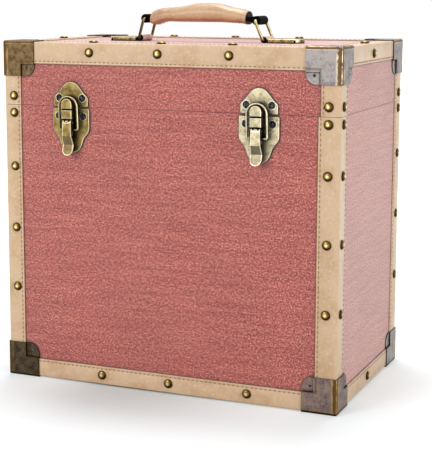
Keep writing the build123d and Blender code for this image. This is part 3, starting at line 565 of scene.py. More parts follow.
class Finish(Enum):
    """Every finish on the case."""

    CLOTH = SlubCloth()
    LINING = SlubCloth(
        "brown_lining", 0x4A3C36, 0x342A26, 0x62524A, 0x84746A, gloss=0.2
    )
    BINDING = Leather(
        "tan_leatherette", 0xDFBC95, 0xD2A87E, 0xEED6BC, relief=mm(0.2)
    )
    GRIP = Leather(
        "grip_leather", 0xCBA479, 0xB2825A, 0xDEBC94,
        grain=mm(0.5), rough=0.36, relief=mm(0.1), crevice_shade=0.7, inked=0,
    )
    STRAP = Leather(
        "inked_strap", 0xE4B89C, 0xCC967A, 0xF0CCB4,
        grain=mm(0.5), rough=0.45, relief=mm(0.1), crevice_shade=0.5, inked=1,
    )
    BOARD = Paint("fibreboard", 0xBEA07C, 0xD0B694, 0.8)
    LATCH_LEFT = AntiqueMetal(
        "latch_brass_olive", 0xFCF0C8, 0x9E8854, 0x5C4C2A,
        dirt=0.55, rough=0.5, crevice_shade=mm(12.0), downward_shade=0.95, upward_shade=0.6,
    )
    LATCH_RIGHT = AntiqueMetal(
        "latch_brass_pale", 0xFFF8DC, 0xC4B89A, 0x867A5E,
        dirt=0.45, rough=0.5, crevice_shade=mm(12.0), downward_shade=0.95, upward_shade=0.45,
    )
    # A darker copy of the ring brass, painting the shade on the left ring.
    RING_SHADED = AntiqueMetal(
        "ring_brass_shaded", 0x968256, 0x423622, 0x1A150F,
        dirt=0.7, crevice_shade=mm(3.0), rub=mm(0.4),
    )
    RING = AntiqueMetal(
        "ring_brass", 0xF0E2B2, 0xA08C5C, 0x3C2E1C,
        dirt=0.6, rough=0.36, blotch=mm(4.0), crevice_shade=mm(3.0), rub=mm(0.8),
    )
    HINGE = AntiqueMetal("hinge_brass", 0xE2D0A0, 0xA48E62, 0x544630)
    STUD = DomeMetal(
        "stud_brass", 0xF2E0A4, 0x8E733A, 0x3A240E,
        dirt=0.45, rough=0.26, blotch=mm(4.0), crevice_shade=mm(1.5),
    )
    # Four tones of one cap metal: lit and shaded copies that paint how bright each corner's reflections look.
    CAP_LIT_PALE = CapMetal(
        "cap_lit_silvery", 0xE4D0A8, 0x948D88, 0x6A6068,
        dirt=0.4, rough=0.42, blotch=mm(12.0), brown_width=mm(4.4),
    )
    CAP_OLIVE = CapMetal(
        "cap_olive", 0xA08A5C, 0x746044, 0x463420,
        dirt=0.6, rough=0.42, blotch=mm(5.0),
    )
    CAP_MOTTLED = CapMetal(
        "cap_mottled", 0xB29254, 0x8A786C, 0x5C4C54,
        dirt=0.6, rough=0.4, blotch=mm(8.0),
    )
    CAP_SHADED_DARK = CapMetal(
        "cap_shaded_dark", 0x786A44, 0x564A38, 0x322824,
        dirt=0.7, rough=0.42, blotch=mm(7.0), fold=mm(18.7),
    )
    NAIL = Paint("cap_nail_black", 0x1E1C22, 0x6E707A, 0.4, metallic=1.0)
    SCREW = Paint(
        "blackened_screw", 0x1A1A1D, 0x9698A2, 0.28, metallic=1.0, blotch=mm(0.9)
    )
    ENAMEL = Paint("black_enamel", 0x050404, 0x0E0D0C, 0.6, gloss=0.03)
    THREAD = Paint("stitching_thread", 0xA06E46, 0xBA8A60, 0.8)
    THREAD_PALE = Paint("pale_thread", 0xECD6BA, 0xF6E6CE, 0.8)


class Wardrobe:
    """Makes each finish's material once and puts it on pieces."""

    def __init__(self) -> None:
        """Start with no materials made."""
        self.made: dict[Finish, bpy.types.Material] = {}

    def dress(self, finish: Finish, *pieces: bpy.types.Object) -> None:
        """Replace the materials of pieces with a finish."""
        if finish not in self.made:
            self.made[finish] = finish.value.material()
        for piece in pieces:
            piece.data.materials.clear()
            piece.data.materials.append(self.made[finish])

    def dress_nodes(self, finish: Finish, *nodes: str) -> None:
        """Put a finish on nodes that keep their own shape."""
        self.dress(finish, *(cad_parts[node] for node in nodes))


# ------------------------------------------------------------------ modelling
class Model:
    """A mesh in the making, which ends as one piece of the case."""

    def __init__(self, name: str, *nodes: str) -> None:
        """Start empty, or from merged copies of nodes.

        Args:
            name: The piece's name.
            nodes: Nodes whose shape it starts from.
        """
        self.name = name
        self.rounded = False
        self.bm = bmesh.new()
        for node in nodes:
            self.bm.from_mesh(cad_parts[node].data)
        if nodes:
            self.mend(NODE_WELD)

    def mend(self, gap: float) -> None:
        """Join points that lie within a gap and turn every face outwards."""
        bmesh.ops.remove_doubles(self.bm, verts=self.bm.verts[:], dist=gap)
        bmesh.ops.recalc_face_normals(self.bm, faces=self.bm.faces[:])

    def islands(self) -> list[list[bmesh.types.BMVert]]:
        """The points of each separate solid."""
        left, groups = set(self.bm.verts), []
        while left:
            group = [left.pop()]
            for vert in group:
                near = {edge.other_vert(vert) for edge in vert.link_edges} & left
                left -= near
                group.extend(near)
            groups.append(group)
        return groups

    def soften(self, width: float, angle: float = math.radians(28), segments: int = 2) -> "Model":
        """Merge flat faces and round every sharp edge.

        Args:
            width: How far the rounding reaches from each edge.
            angle: Edges that turn more than this count as sharp.
            segments: Faces across each rounding.

        Returns:
            The model.
        """
        flat = math.radians(0.5)
        bmesh.ops.dissolve_limit(
            self.bm, angle_limit=flat, verts=self.bm.verts[:], edges=self.bm.edges[:],
            use_dissolve_boundaries=False,
        )
        sharp = [edge for edge in self.bm.edges if edge.is_manifold and edge.calc_face_angle(0.0) > angle]
        bmesh.ops.bevel(
            self.bm, geom=sharp, affect="EDGES", offset=width, segments=segments, profile=0.5,
            material=-1, clamp_overlap=True,
        )
        bmesh.ops.triangulate(self.bm, faces=[face for face in self.bm.faces if len(face.verts) > 4])
        self.rounded = True
        return self

    def prism(self, outline: Sequence[Pair], length: float, steps: int, place: Matrix) -> "Model":
        """Extrude an outline along its own z in steps, closed at both ends.

        Args:
            outline: Corners in the place's x and y.
            length: How far it goes.
            steps: How many lengths it is divided into.
            place: Where the outline's plane lies.

        Returns:
            The model.
        """
        points = [self.bm.verts.new(place @ Vector((x, y, 0.0))) for x, y in outline]
        face = self.bm.faces.new(points)
        move = place.to_3x3() @ Vector((0.0, 0.0, length / steps))
        for _ in range(steps):
            made = bmesh.ops.extrude_face_region(self.bm, geom=[face])["geom"]
            face = next(item for item in made if isinstance(item, bmesh.types.BMFace))
            bmesh.ops.translate(self.bm, vec=move, verts=face.verts[:])
        return self

    def spun(self, profile: Sequence[Pair], steps: int) -> "Model":
        """Spin a profile of (radius, height) points round z.

        Args:
            profile: From the rim to the middle.
            steps: Faces round it.

        Returns:
            The model.
        """
        verts = [self.bm.verts.new((radius, 0.0, height)) for radius, height in profile]
        edges = [self.bm.edges.new(pair) for pair in zip(verts, verts[1:])]
        bmesh.ops.spin(
            self.bm, geom=verts + edges, axis=(0.0, 0.0, 1.0), angle=2 * math.pi, steps=steps, use_merge=True
        )
        bmesh.ops.remove_doubles(self.bm, verts=self.bm.verts[:], dist=NODE_WELD)
        return self.closed()

    def tube(self, around: int, steps: int) -> "Model":
        """A tube of radius 1 along z with a ring of points at every whole number, closed at both ends."""
        circle = bmesh.ops.create_circle(self.bm, segments=around, radius=1.0)["verts"]
        geom = circle + self.bm.edges[:]
        bmesh.ops.spin(self.bm, geom=geom, axis=(0.0, 0.0, 1.0), dvec=(0.0, 0.0, 1.0), steps=steps)
        return self.closed()

    def closed(self) -> "Model":
        """Fill the model's open ends."""
        bmesh.ops.holes_fill(self.bm, edges=[edge for edge in self.bm.edges if edge.is_boundary])
        return self

    def stamp(self, shape: "Model", place: Matrix) -> None:
        """Add a copy of a small model at a place."""
        copy = bpy.data.meshes.new("copy")
        shape.bm.to_mesh(copy)
        copy.transform(place)
        self.bm.from_mesh(copy)
        bpy.data.meshes.remove(copy)

    def ruffle(self, amount: float, size: float, seed: int) -> None:
        """Move every point a little, smoothly over blotches of a size."""
        noise.seed_set(seed)
        for vert in self.bm.verts:
            vert.co += noise.noise_vector(vert.co / size) * amount

    def piece(
        self, wardrobe: Wardrobe, finish: Finish, body: str, slot: str, *nodes: str, smooth: float = 40.0
    ) -> bpy.types.Object:
        """Turn the model into a piece of the case.

        Args:
            wardrobe: Where its material comes from.
            finish: What it is dressed in.
            body: The body it rides on.
            slot: Not used.
            nodes: The nodes that it stands for.
            smooth: Edges that turn more than this many degrees stay sharp.

        Returns:
            The new object.
        """
        self.mend(PIECE_WELD)
        for face in self.bm.faces:
            face.smooth = True
        for edge in self.bm.edges:
            edge.smooth = not edge.is_manifold or edge.calc_face_angle(0.0) < math.radians(smooth)
        mesh = bpy.data.meshes.new(self.name)
        self.bm.to_mesh(mesh)
        log.info("%s: %d faces", self.name, len(self.bm.faces))
        self.bm.free()
        made = bpy.data.objects.new(self.name, mesh)
        bpy.context.scene.collection.objects.link(made)
        if self.rounded:
            made.modifiers.new("even_shading", "WEIGHTED_NORMAL").keep_sharp = True
        wardrobe.dress(finish, made)
        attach(made, body)
        if nodes:
            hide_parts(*nodes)
        return made


def eased(
    wardrobe: Wardrobe, node: str, kind: str, ease: float, finish: Finish, body: str, slot: str
) -> None:
    """Make the piece that stands for a node: its own solid with its sharp edges rounded."""
    Model(f"{node}_{kind}", node).soften(ease).piece(wardrobe, finish, body, slot, node)


def stitch_shape(size: Vector) -> Model:
    """One stitch: a small rounded lozenge of a size."""
    model = Model("stitch")
    scaled = Matrix.Diagonal((*(size / 2), 1.0))
    bmesh.ops.create_uvsphere(model.bm, u_segments=6, v_segments=4, radius=1.0, matrix=scaled)
    return model


def arc(middle: Pair, radius: float, start: float, end: float, steps: int) -> list[Pair]:
    """Points along an arc, with its angles in degrees."""
    points = []
    for n in range(steps + 1):
        angle = math.radians(start + (end - start) * n / steps)
        points.append((middle[0] + radius * math.cos(angle), middle[1] + radius * math.sin(angle)))
    return points


def axes(origin: Vector, x: Vector, y: Vector, z: Vector) -> Matrix:
    """A place whose axes point along three directions."""
    return Matrix.Translation(origin) @ Matrix((x, y, z)).transposed().to_4x4()


@dataclass
class Strip:
    """One length of binding: two legs round an edge of the case."""

    origin: Vector
    leg_a: Vector
    leg_b: Vector
    along: Vector
    width_a: float
    width_b: float
    length: float


@dataclass
class Bindings:
    """Leatherette strips round every edge of the case, with a stitched groove along both legs."""

    wardrobe: Wardrobe
    thickness: float = mm(1.4)
    edge_radius: float = mm(1.8)
    corner_turn: Pair = (225.0, 270.0)
    end_radius: float = mm(0.7)
    end_turn: Pair = (-80.0, 0.0)
    groove_inset: float = mm(2.3)
    groove_half: float = mm(0.7)
    groove_depth: float = mm(0.3)
    stitch_size: Vector = field(default_factory=lambda: Vector((mm(0.95), mm(0.76), mm(2.8))))
    stitch_pitch: float = mm(4.85)
    stitch_lift: float = 0.35
    corner_left: float = mm(18.6)
    corner_right: float = mm(21.8)
    lid_corner_right: float = mm(19.6)
    corner_side: float = mm(21.6)
    bottom_width: float = mm(18.8)
    top_width: float = mm(21.9)
    top_end_width: float = mm(18.9)
    flat_width: float = mm(20.0)
    division: float = mm(7.0)
    sink: float = mm(0.1)
    sink_size: float = mm(11.0)

    def outline(self, strip: Strip) -> list[Pair]:
        """The strip's cross section, from the outer corner along leg a and back along leg b."""
        radius = self.edge_radius
        corner = arc((radius, radius), radius, *self.corner_turn, steps=3)
        side_b = [(y, x) for x, y in corner[1:] + self.leg(strip.width_b)]
        return corner + self.leg(strip.width_a) + [(self.thickness, self.thickness)] + side_b[::-1]

    def leg(self, width: float) -> list[Pair]:
        """The outside of one leg, past its groove and round its edge, to its underside."""
        half, end, groove = self.groove_half, self.end_radius, width - self.groove_inset
        dip = [(groove - half / 2, self.groove_depth), (groove + half / 2, self.groove_depth)]
        edge = arc((width - end, end), end, *self.end_turn, steps=4)
        return [(groove - half, 0.0), *dip, (groove + half, 0.0), *edge, (width, self.thickness)]

    def strips(self, lid: bool) -> list[Strip]:
        """Every strip of the lid, or of the base: four upright, then two along x and two along y."""
        low, high = case_box()
        if lid:
            low = Vector((low.x, low.y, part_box("lid_corner_bindings")[0].z))
            right, long_width, end_width = self.lid_corner_right, self.top_width, self.top_end_width
        else:
            high = Vector((high.x, high.y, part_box("base_corner_bindings")[1].z))
            right, long_width, end_width = self.corner_right, self.bottom_width, self.bottom_width
        x, y, z = Vector((1, 0, 0)), Vector((0, 1, 0)), Vector((0, 0, 1))
        sides, ends = ((low.y, y), (high.y, -y)), ((low.x, x), (high.x, -x))
        made = []
        for (end_x, turn_x), width in zip(ends, (self.corner_left, right)):
            for end_y, turn_y in sides:
                origin = Vector((end_x, end_y, low.z))
                made.append(Strip(origin, turn_x, turn_y, z, width, self.corner_side, high.z - low.z))
        level, rise = (high.z, -z) if lid else (low.z, z)
        flat = self.flat_width
        start, end = low.x + max(self.corner_left, flat), high.x - max(right, flat)
        for end_y, turn_y in sides:
            origin = Vector((start, end_y, level))
            made.append(Strip(origin, turn_y, rise, x, flat, long_width, end - start))
        start, end = low.y + self.corner_side, high.y - self.corner_side
        for end_x, turn_x in ends:
            origin = Vector((end_x, start, level))
            made.append(Strip(origin, rise, turn_x, y, end_width, flat, end - start))
        return made

    def build(self, lid: bool) -> None:
        """Make the strips and their stitches for one half of the case."""
        half, level = ("lid", "top") if lid else ("base", "bottom")
        strips = self.strips(lid)
        groups = {f"{half}_corner_bindings": strips[:4], f"{half}_{level}_bindings": strips[4:]}
        for node, group in groups.items():
            leather, thread = Model(f"{node}_leather"), Model(f"{node}_stitches")
            for strip in group:
                steps = max(2, round(strip.length / self.division))
                place = axes(strip.origin, strip.leg_a, strip.leg_b, strip.along)
                leather.prism(self.outline(strip), strip.length, steps, place)
                self.stitch(thread, strip)
            self.settle(leather)
            leather.piece(self.wardrobe, Finish.BINDING, half, "leatherette", node, smooth=50.0)
            thread.piece(self.wardrobe, Finish.THREAD, half, "leatherette")

    def settle(self, model: Model) -> None:
        """Let the leatherette's surface lie a little unevenly, never proud of its own thickness."""
        low, high = case_box()
        for vert in model.bm.verts:
            for axis in range(3):
                if min(vert.co[axis] - low[axis], high[axis] - vert.co[axis]) < self.sink:
                    sink = self.sink * (1 + noise.noise(vert.co / self.sink_size))
                    vert.co[axis] += sink if vert.co[axis] < (low[axis] + high[axis]) / 2 else -sink

    def stitch(self, model: Model, strip: Strip) -> None:
        """Sew along the grooves of both legs of a strip."""
        count = int((strip.length - self.stitch_size.z) / self.stitch_pitch)
        shape = stitch_shape(self.stitch_size)
        legs = ((strip.leg_a, strip.leg_b, strip.width_a), (strip.leg_b, strip.leg_a, strip.width_b))
        for n in range(count + 1):
            along = strip.along * (strip.length / 2 + (n - count / 2) * self.stitch_pitch)
            for leg, other, width in legs:
                lift = other * (self.groove_depth * self.stitch_lift)
                spot = strip.origin + along + leg * (width - self.groove_inset) + lift
                model.stamp(shape, axes(spot, leg, other, strip.along))


@dataclass
class DomeNails:
    """Brass dome nails, each where its solid is."""

    wardrobe: Wardrobe
    radius: float = mm(4.75)
    height: float = mm(2.3)
    profile: tuple[Pair, ...] = (
        (1.0, -0.1), (1.0, 0.12), (0.96, 0.32), (0.86, 0.56), (0.72, 0.76),
        (0.54, 0.9), (0.34, 0.97), (0.16, 0.995), (0.0, 1.0),
    )
    steps: int = 20

    def places(self, node: str) -> list[Matrix]:
        """Where each nail of a node stands, with z out of the case."""
        low, high = case_box()
        found = []
        solids = Model("scratch", node)
        for group in solids.islands():
            near = Vector([min(vert.co[axis] for vert in group) for axis in range(3)])
            far = Vector([max(vert.co[axis] for vert in group) for axis in range(3)])
            middle = (near + far) / 2
            past = max((abs(2 * middle[n] - low[n] - high[n]) - (high[n] - low[n]), n) for n in range(3))
            axis = past[1]
            face = high if 2 * middle[axis] > low[axis] + high[axis] else low
            out = Vector()
            out[axis] = 1.0 if face is high else -1.0
            middle[axis] = face[axis]
            found.append(Matrix.Translation(middle) @ out.to_track_quat("Z", "Y").to_matrix().to_4x4())
        return found

    def dome(self) -> Model:
        """One nail, whose points carry their share of its radius as rim."""
        profile = [(radius * self.radius, height * self.height) for radius, height in self.profile]
        dome = Model("dome").spun(profile, self.steps)
        rim = dome.bm.verts.layers.float.new("rim")
        for vert in dome.bm.verts:
            vert[rim] = vert.co.xy.length / self.radius
        return dome

    def build(self, half: str) -> None:
        """Make the nails of one half of the case."""
        node = f"{half}_studs"
        model, dome = Model(f"{node}_domes"), self.dome()
        for place in self.places(node):
            model.stamp(dome, place)
        model.piece(self.wardrobe, Finish.STUD, half, "stud_brass", node, smooth=70.0)


@dataclass
class PressedMetal:
    """Plates and caps that keep their solid's shape, with their sharp edges eased, and the levers' lips.

    Each of lip_rolls is a half width, and the angles in degrees where that width's roll starts and ends.
    """

    wardrobe: Wardrobe
    cap_ease: float = mm(0.4)
    plate_ease: float = mm(0.2)
    lip_inner: float = mm(2.05)
    lip_outer: float = mm(3.35)
    lip_rolls: tuple[Triple, ...] = ((mm(3.3), -108.0, -65.0), (mm(1.7), -165.0, -108.2))
    lip_steps: int = 8

    def caps(self) -> None:
        """The eight corner caps, each in a lighter or darker copy of the cap metal that paints the
        reflections and shade falling on that corner.
        """
        lit_and_shaded_tones = {
            "top_front_left": Finish.CAP_OLIVE,
            "top_front_right": Finish.CAP_LIT_PALE,
            "bottom_front_left": Finish.CAP_SHADED_DARK,
            "bottom_front_right": Finish.CAP_MOTTLED,
            "top_back_left": Finish.CAP_OLIVE,
            "top_back_right": Finish.CAP_LIT_PALE,
            "bottom_back_left": Finish.CAP_SHADED_DARK,
            "bottom_back_right": Finish.CAP_LIT_PALE,
        }
        for corner, tone_and_shade in lit_and_shaded_tones.items():
            body = "lid" if corner.startswith("top") else "base"
            eased(self.wardrobe, f"cap_{corner}", "shell", self.cap_ease, tone_and_shade, body, "cap_metal")

    def latch(self, side: str, finish: Finish) -> None:
        """One toggle latch."""
        riders = {"strike_plate": "lid", "base_plate": "base", "lever": f"{side}_lever", "pivot_pin": "base"}
        for part, body in riders.items():
            eased(self.wardrobe, f"{side}_latch_{part}", "form", self.plate_ease, finish, body, "latch_brass")
        self.wardrobe.dress_nodes(finish, f"{side}_latch_bail")

    def lip(self, side: str, finish: Finish) -> None:
        """The lip of a lever: rolled over its pin between its base plate's ears, and in front of them."""
        low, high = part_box(f"{side}_latch_pivot_pin")
        lip = Model(f"{side}_latch_lever_lip")
        for half_width, start, end in self.lip_rolls:
            outline = arc((0.0, 0.0), self.lip_outer, start, end, self.lip_steps)
            outline += arc((0.0, 0.0), self.lip_inner, end, start, self.lip_steps)
            corner = (low + high) / 2 - Vector((half_width, 0, 0))
            place = axes(corner, Vector((0, 0, -1)), Vector((0, 1, 0)), Vector((1, 0, 0)))
            lip.prism(outline, 2 * half_width, 2, place)
        lip.piece(self.wardrobe, finish, f"{side}_lever", "latch_brass")

    def build(self) -> None:
        """Make the caps, the latches and the two back hinges."""
        self.caps()
        latches = (("left", Finish.LATCH_LEFT), ("right", Finish.LATCH_RIGHT))
        for make in (self.latch, self.lip):
            for side, finish in latches:
                make(side, finish)
        for side in ("left", "right"):
            for half in ("base", "lid"):
                node = f"{side}_hinge_{half}_leaf"
                eased(self.wardrobe, node, "form", self.plate_ease, Finish.HINGE, half, "hinge_brass")


@dataclass
class CarryingHandle:
    """The padded grip, the straps round the rings and the brass plates."""

    wardrobe: Wardrobe
    left_top: Vector = field(default_factory=lambda: Vector((mm(-65.8), mm(2.8), mm(373.45))))
    right_top: Vector = field(default_factory=lambda: Vector((mm(59.0), mm(2.8), mm(372.46))))
    stations: tuple[tuple[float, ...], ...] = tuple(tuple(map(mm, station)) for station in (
        (-57.7, -5.8, 7.1, 11.6),
        (-53.0, -6.6, 9.6, 11.8),
        (-41.6, -3.0, 11.4, 12.2),
        (-26.0, -2.8, 12.7, 12.7),
        (-10.0, -2.7, 16.0, 13.0),
        (4.4, -2.6, 16.9, 13.0),
        (18.4, -2.4, 16.2, 12.9),
        (33.4, -2.8, 12.9, 12.4),
        (43.6, -3.6, 11.2, 12.0),
        (52.7, -5.3, 8.8, 11.6),
    ))
    rings: int = 96
    around: int = 44
    crown: float = 0.42
    roundness: float = 0.9
    flatness: float = 0.62
    radius: float = mm(11.0)
    trim: float = mm(1.8)
    end_round: float = mm(1.3)
    end_shrink: float = 0.2
    seam_inset: float = mm(3.2)
    seam_depth: float = mm(0.5)
    seam_width: float = mm(0.7)
    uneven: float = mm(0.22)
    uneven_size: float = mm(9.0)
    seed: int = 3
    stitch_size: Vector = field(default_factory=lambda: Vector((mm(0.7), mm(0.7), mm(2.3))))
    stitch_pitch: float = mm(3.4)
    stitch_sink: float = mm(0.35)
    row_half: float = mm(3.0)
    row_drop: float = mm(0.05)
    plate_ease: float = mm(0.2)
    strap_ease: float = mm(0.35)
    core_ease: float = mm(0.3)

    def section(self, x: float) -> list[float]:
        """Underside, top and half width at a distance along, smoothly between the stations."""
        last = len(self.stations) - 2
        index = max(0, min(last, sum(x >= station[0] for station in self.stations) - 1))
        before, one, two, after = (self.stations[max(0, min(last + 1, index + n))] for n in (-1, 0, 1, 2))
        span = two[0] - one[0]
        t = max(0.0, min(1.0, (x - one[0]) / span))
        result = []
        for low, high, first, final in list(zip(one, two, before, after))[1:]:
            slope_low = (high - first) / (two[0] - before[0]) * span
            slope_high = (final - low) / (after[0] - one[0]) * span
            a = 2 * low - 2 * high + slope_low + slope_high
            b = -3 * low + 3 * high - 2 * slope_low - slope_high
            result.append(((a * t + b) * t + slope_low) * t + low)
        return result

    def surface(self, x: float, angle: float, shrink: float) -> Vector:
        """A point of the grip: its cross section is a dome over a flatter underside."""
        low, high, half = self.section(x)
        middle = low + (high - low) * self.crown
        c, s = math.cos(angle), math.sin(angle)
        y = half * math.copysign(abs(c) ** self.roundness, c)
        z = (high - middle) * s if s > 0 else -(middle - low) * abs(s) ** self.flatness
        return Vector((x, y * shrink, middle + z * shrink))

    def shrink(self, from_end: float) -> float:
        """How much narrower the grip is near its ends: rounded over, with a groove at the seam."""
        gap = max(0.0, self.end_round - from_end) / self.end_round
        dip = math.exp(-(((from_end - self.seam_inset) / self.seam_width) ** 2)) * self.seam_depth
        return 1.0 - self.end_shrink * (1 - math.sqrt(1 - gap * gap)) - dip / self.radius

    def grip(self) -> None:
        """The padded leather grip with a sewn seam round each end and one along its underside."""
        start, end = self.stations[0][0], self.stations[-1][0] - self.trim
        model = Model("handle_grip_leather").tube(self.around, self.rings)
        for vert in model.bm.verts:
            x = start + (end - start) * (0.5 - 0.5 * math.cos(math.pi * vert.co.z / self.rings))
            shrink = self.shrink(min(x - start, end - x))
            vert.co = self.surface(x, math.atan2(vert.co.y, vert.co.x), shrink)
        model.bm.normal_update()
        ahead, across = (self.right_top - self.left_top).normalized(), Vector((0, 1, 0))
        place = axes((self.left_top + self.right_top) / 2, ahead, across, ahead.cross(across))
        bmesh.ops.transform(model.bm, matrix=place, verts=model.bm.verts[:])
        model.ruffle(self.uneven, self.uneven_size, self.seed)
        grip = model.piece(self.wardrobe, Finish.GRIP, "grip", "handle_leather", "handle_grip", smooth=60.0)
        self.stitches(place, start + self.seam_inset, end - self.seam_inset)

    def stitches(self, place: Matrix, left: float, right: float) -> None:
        """Short stitches round both ends of the grip and along under it."""
        model = Model("handle_grip_stitches")
        shape = stitch_shape(self.stitch_size)
        x_axis, y_axis, z_axis = Vector((1, 0, 0)), Vector((0, 1, 0)), Vector((0, 0, 1))
        shrink = 1.0 - self.stitch_sink / self.radius
        for x in (left, right):
            turns = [2 * math.pi * n / self.around for n in range(self.around)]
            ring = [self.surface(x, turn, shrink) for turn in turns]
            lengths = [(ring[n] - ring[n - 1]).length for n in range(self.around)]
            count = round(sum(lengths) / self.stitch_pitch)
            for k in range(count):
                rest, n = sum(lengths) * k / count, 1
                while rest > lengths[n % self.around]:
                    rest -= lengths[n % self.around]
                    n += 1
                one, two = ring[(n - 1) % self.around], ring[n % self.around]
                spot = one.lerp(two, rest / lengths[n % self.around])
                along = (two - one).normalized()
                model.stamp(shape, place @ axes(spot, x_axis, along.cross(x_axis), along))
        for k in range(1, int((right - left) / self.stitch_pitch) - 1):
            x = left + k * self.stitch_pitch
            for y in (-self.row_half, self.row_half):
                spot = Vector((x, y, self.section(x)[0] - self.row_drop))
                model.stamp(shape, place @ axes(spot, y_axis, -z_axis, -x_axis))
        model.piece(self.wardrobe, Finish.THREAD_PALE, "grip", "handle_leather")

    def build(self) -> None:
        """Make the grip and dress the rest."""
        self.grip()
        for side in ("left", "right"):
            node = f"handle_{side}_plate"
            eased(self.wardrobe, node, "form", self.plate_ease, Finish.RING, "lid", "ring_brass")
            node = f"handle_{side}_chape"
            eased(self.wardrobe, node, "strap", self.strap_ease, Finish.STRAP, "lid", "handle_leather")
        eased(self.wardrobe, "handle_core", "form", self.core_ease, Finish.ENAMEL, "grip", "core_black")
        # The left ring wears the darker copy of the ring brass as painted shade.
        self.wardrobe.dress_nodes(Finish.RING_SHADED, "handle_left_ring")
        self.wardrobe.dress_nodes(Finish.RING, "handle_right_ring")


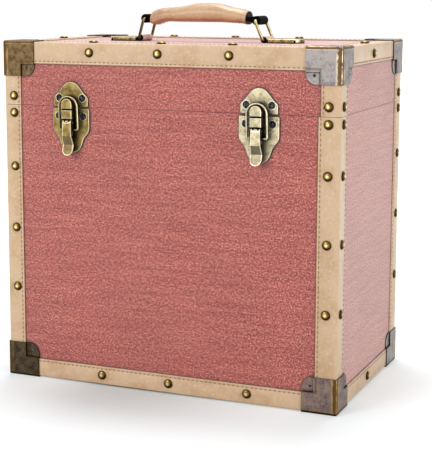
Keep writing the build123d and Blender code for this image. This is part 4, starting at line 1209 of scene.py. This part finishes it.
# ------------------------------------------------------------------ studio
@dataclass
class Studio:
    """Camera, lamps, floor and world."""

    image_width: float = 432.0
    image_height: float = 453.0
    focal_pixels: float = 1303.8
    centre_x: float = 197.9
    centre_y: float = 189.3
    eye: Triple = (mm(532.7), mm(-1259.5), mm(402.1))
    yaw: float = math.radians(-23.27)
    pitch: float = math.radians(8.65)
    roll: float = math.radians(0.07)
    sensor: float = 36.0
    nearest: float = mm(10.0)
    farthest: float = 100.0
    ambient: float = 0.38
    floor_half: float = 8.0
    floor_colour: Triple = (0.66, 0.7, 0.705)
    floor_glow: float = 0.42
    glow_fade: Pair = (0.4, 1.2)
    shadow_reach: float = 0.22
    shadow_steps: Pair = (0.97, 0.5)
    shadow_least: float = 0.15
    # Where the painted shadow under the case starts and ends across x.
    under_left: Pair = (-0.17, -0.05)
    under_right: Pair = (0.15, -0.05)
    target: Triple = (0.0, 0.0, 0.2)
    lamps: tuple[tuple[str, Triple, float, float], ...] = (
        ("key", (-1.0, -2.0, 1.3), 1.1, 27.0),
        ("side", (2.4, -0.8, 0.55), 1.2, 22.0),
        ("top", (-0.12, 0.65, 2.4), 0.9, 36.0),
    )

    def camera(self) -> None:
        """Make the camera and use it."""
        data = bpy.data.cameras.new("camera")
        data.sensor_width = self.sensor
        data.lens = self.focal_pixels / self.image_height * self.sensor
        data.shift_x = (self.image_width / 2 - self.centre_x) / self.image_height
        data.shift_y = (self.centre_y - self.image_height / 2) / self.image_height
        data.clip_start = self.nearest
        data.clip_end = self.farthest
        camera = bpy.data.objects.new("camera", data)
        turns = ((-self.yaw, "Z"), (math.pi / 2 - self.pitch, "X"), (self.roll, "Z"))
        camera.matrix_world = Matrix.Translation(self.eye)
        for angle, axis in turns:
            camera.matrix_world = camera.matrix_world @ Matrix.Rotation(angle, 4, axis)
        bpy.context.scene.collection.objects.link(camera)
        bpy.context.scene.camera = camera

    def lamp(self, name: str, place: Triple, size: float, power: float) -> None:
        """Hang one soft square lamp at a place, with a side and a power in watts."""
        data = bpy.data.lights.new(name, "AREA")
        data.size = size
        data.energy = power
        lamp = bpy.data.objects.new(name, data)
        turn = (Vector(self.target) - Vector(place)).to_track_quat("-Z", "Y").to_matrix().to_4x4()
        lamp.matrix_world = Matrix.Translation(place) @ turn
        bpy.context.scene.collection.objects.link(lamp)

    def world(self) -> None:
        """White to the camera and in reflections, and a plain pale light on the case."""
        world = bpy.data.worlds.new("studio")
        world.use_nodes = True
        tree = Nodes(world.node_tree)
        rays = [tree.node("LightPath", {}, f"Is {ray} Ray") for ray in ("Camera", "Transmission", "Glossy")]
        background = tree.nodes["Background"]
        tree.set(background, "Strength", tree.span(tree.fold("MAXIMUM", rays), 0.0, 1.0, self.ambient, 1.0))
        tree.set(background, "Color", (1.0, 1.0, 1.0))
        bpy.context.scene.world = world

    def floor(self) -> None:
        """A pale floor that keeps the case's cast shadow, has a painted shadow dimming its glow near the
        case, and fades into white away from it.
        """
        bm = bmesh.new()
        bmesh.ops.create_grid(bm, x_segments=1, y_segments=1, size=self.floor_half)
        mesh = bpy.data.meshes.new("floor")
        bm.to_mesh(mesh)
        bm.free()
        floor = bpy.data.objects.new("floor", mesh)
        bpy.context.scene.collection.objects.link(floor)
        s = Shader("pale_floor", base_color=self.floor_colour, roughness=1.0, specular_ior_level=0.0)
        seen = s.math("MAXIMUM", *(s.node("LightPath", {}, f"Is {ray} Ray") for ray in ("Camera", "Glossy")))
        x, y, _ = s.split(s.place)
        away = s.math("SQRT", x * x + y * y)
        # Painted shadow: the floor's glow is dimmed near the case, across its width, where the case hems the
        # floor in.
        painted_shadow_span = s.step(x, *self.under_left) * s.step(x, *self.under_right)
        painted_shadow = s.step(s.cavity(self.shadow_reach), *self.shadow_steps)
        painted_shadow = painted_shadow * s.span(painted_shadow_span, 0.0, 1.0, self.shadow_least, 1.0)
        level = s.span(away, *self.glow_fade, self.floor_glow, 1.0) - painted_shadow * self.floor_glow
        glow = s.node("Emission", {"Strength": seen * level})
        total = s.node("AddShader", {0: Field(s, s.bsdf.outputs[0]), 1: glow})
        s.set(s.nodes["Material Output"], "Surface", total)
        mesh.materials.append(s.material)

    def build(self) -> None:
        """Set up the whole studio."""
        self.camera()
        self.world()
        self.floor()
        for lamp in self.lamps:
            self.lamp(*lamp)
        bpy.context.scene.view_settings.view_transform = "Standard"


def dress_cloth(wardrobe: Wardrobe, ease: float = mm(0.2)) -> None:
    """Make the cloth outside and the lining inside both halves, with their cut edges rounded over."""
    for half in ("base", "lid"):
        eased(wardrobe, f"{half}_cloth_cover", "skin", ease, Finish.CLOTH, half, "cloth")
        eased(wardrobe, f"{half}_lining", "skin", ease, Finish.LINING, half, "lining")


def dress_rest(wardrobe: Wardrobe) -> None:
    """Give the nodes that keep their own shape their finishes."""
    for half in ("base", "lid"):
        sides = [f"{half}_{side}_panel" for side in ("front", "back", "left", "right")]
        wardrobe.dress_nodes(Finish.BOARD, *sides)
        wardrobe.dress_nodes(Finish.NAIL, f"{half}_cap_nails")
        wardrobe.dress_nodes(Finish.SCREW, f"{half}_latch_screws", f"{half}_hinge_screws")
    wardrobe.dress_nodes(Finish.BOARD, "base_floor_panel", "lid_top_panel", "base_locating_lip")
    wardrobe.dress_nodes(Finish.HINGE, "hinge_pins")
    wardrobe.dress_nodes(Finish.SCREW, "handle_plate_screws")


def main() -> None:
    """Build the case and its studio, in order."""
    logging.basicConfig(level=logging.INFO, format="%(message)s")
    wardrobe = Wardrobe()
    Studio().build()
    dress_cloth(wardrobe)
    bindings, nails = Bindings(wardrobe), DomeNails(wardrobe)
    for half in ("base", "lid"):
        bindings.build(lid=half == "lid")
        nails.build(half)
    PressedMetal(wardrobe).build()
    CarryingHandle(wardrobe).build()
    dress_rest(wardrobe)


if __name__ == "__main__":
    main()
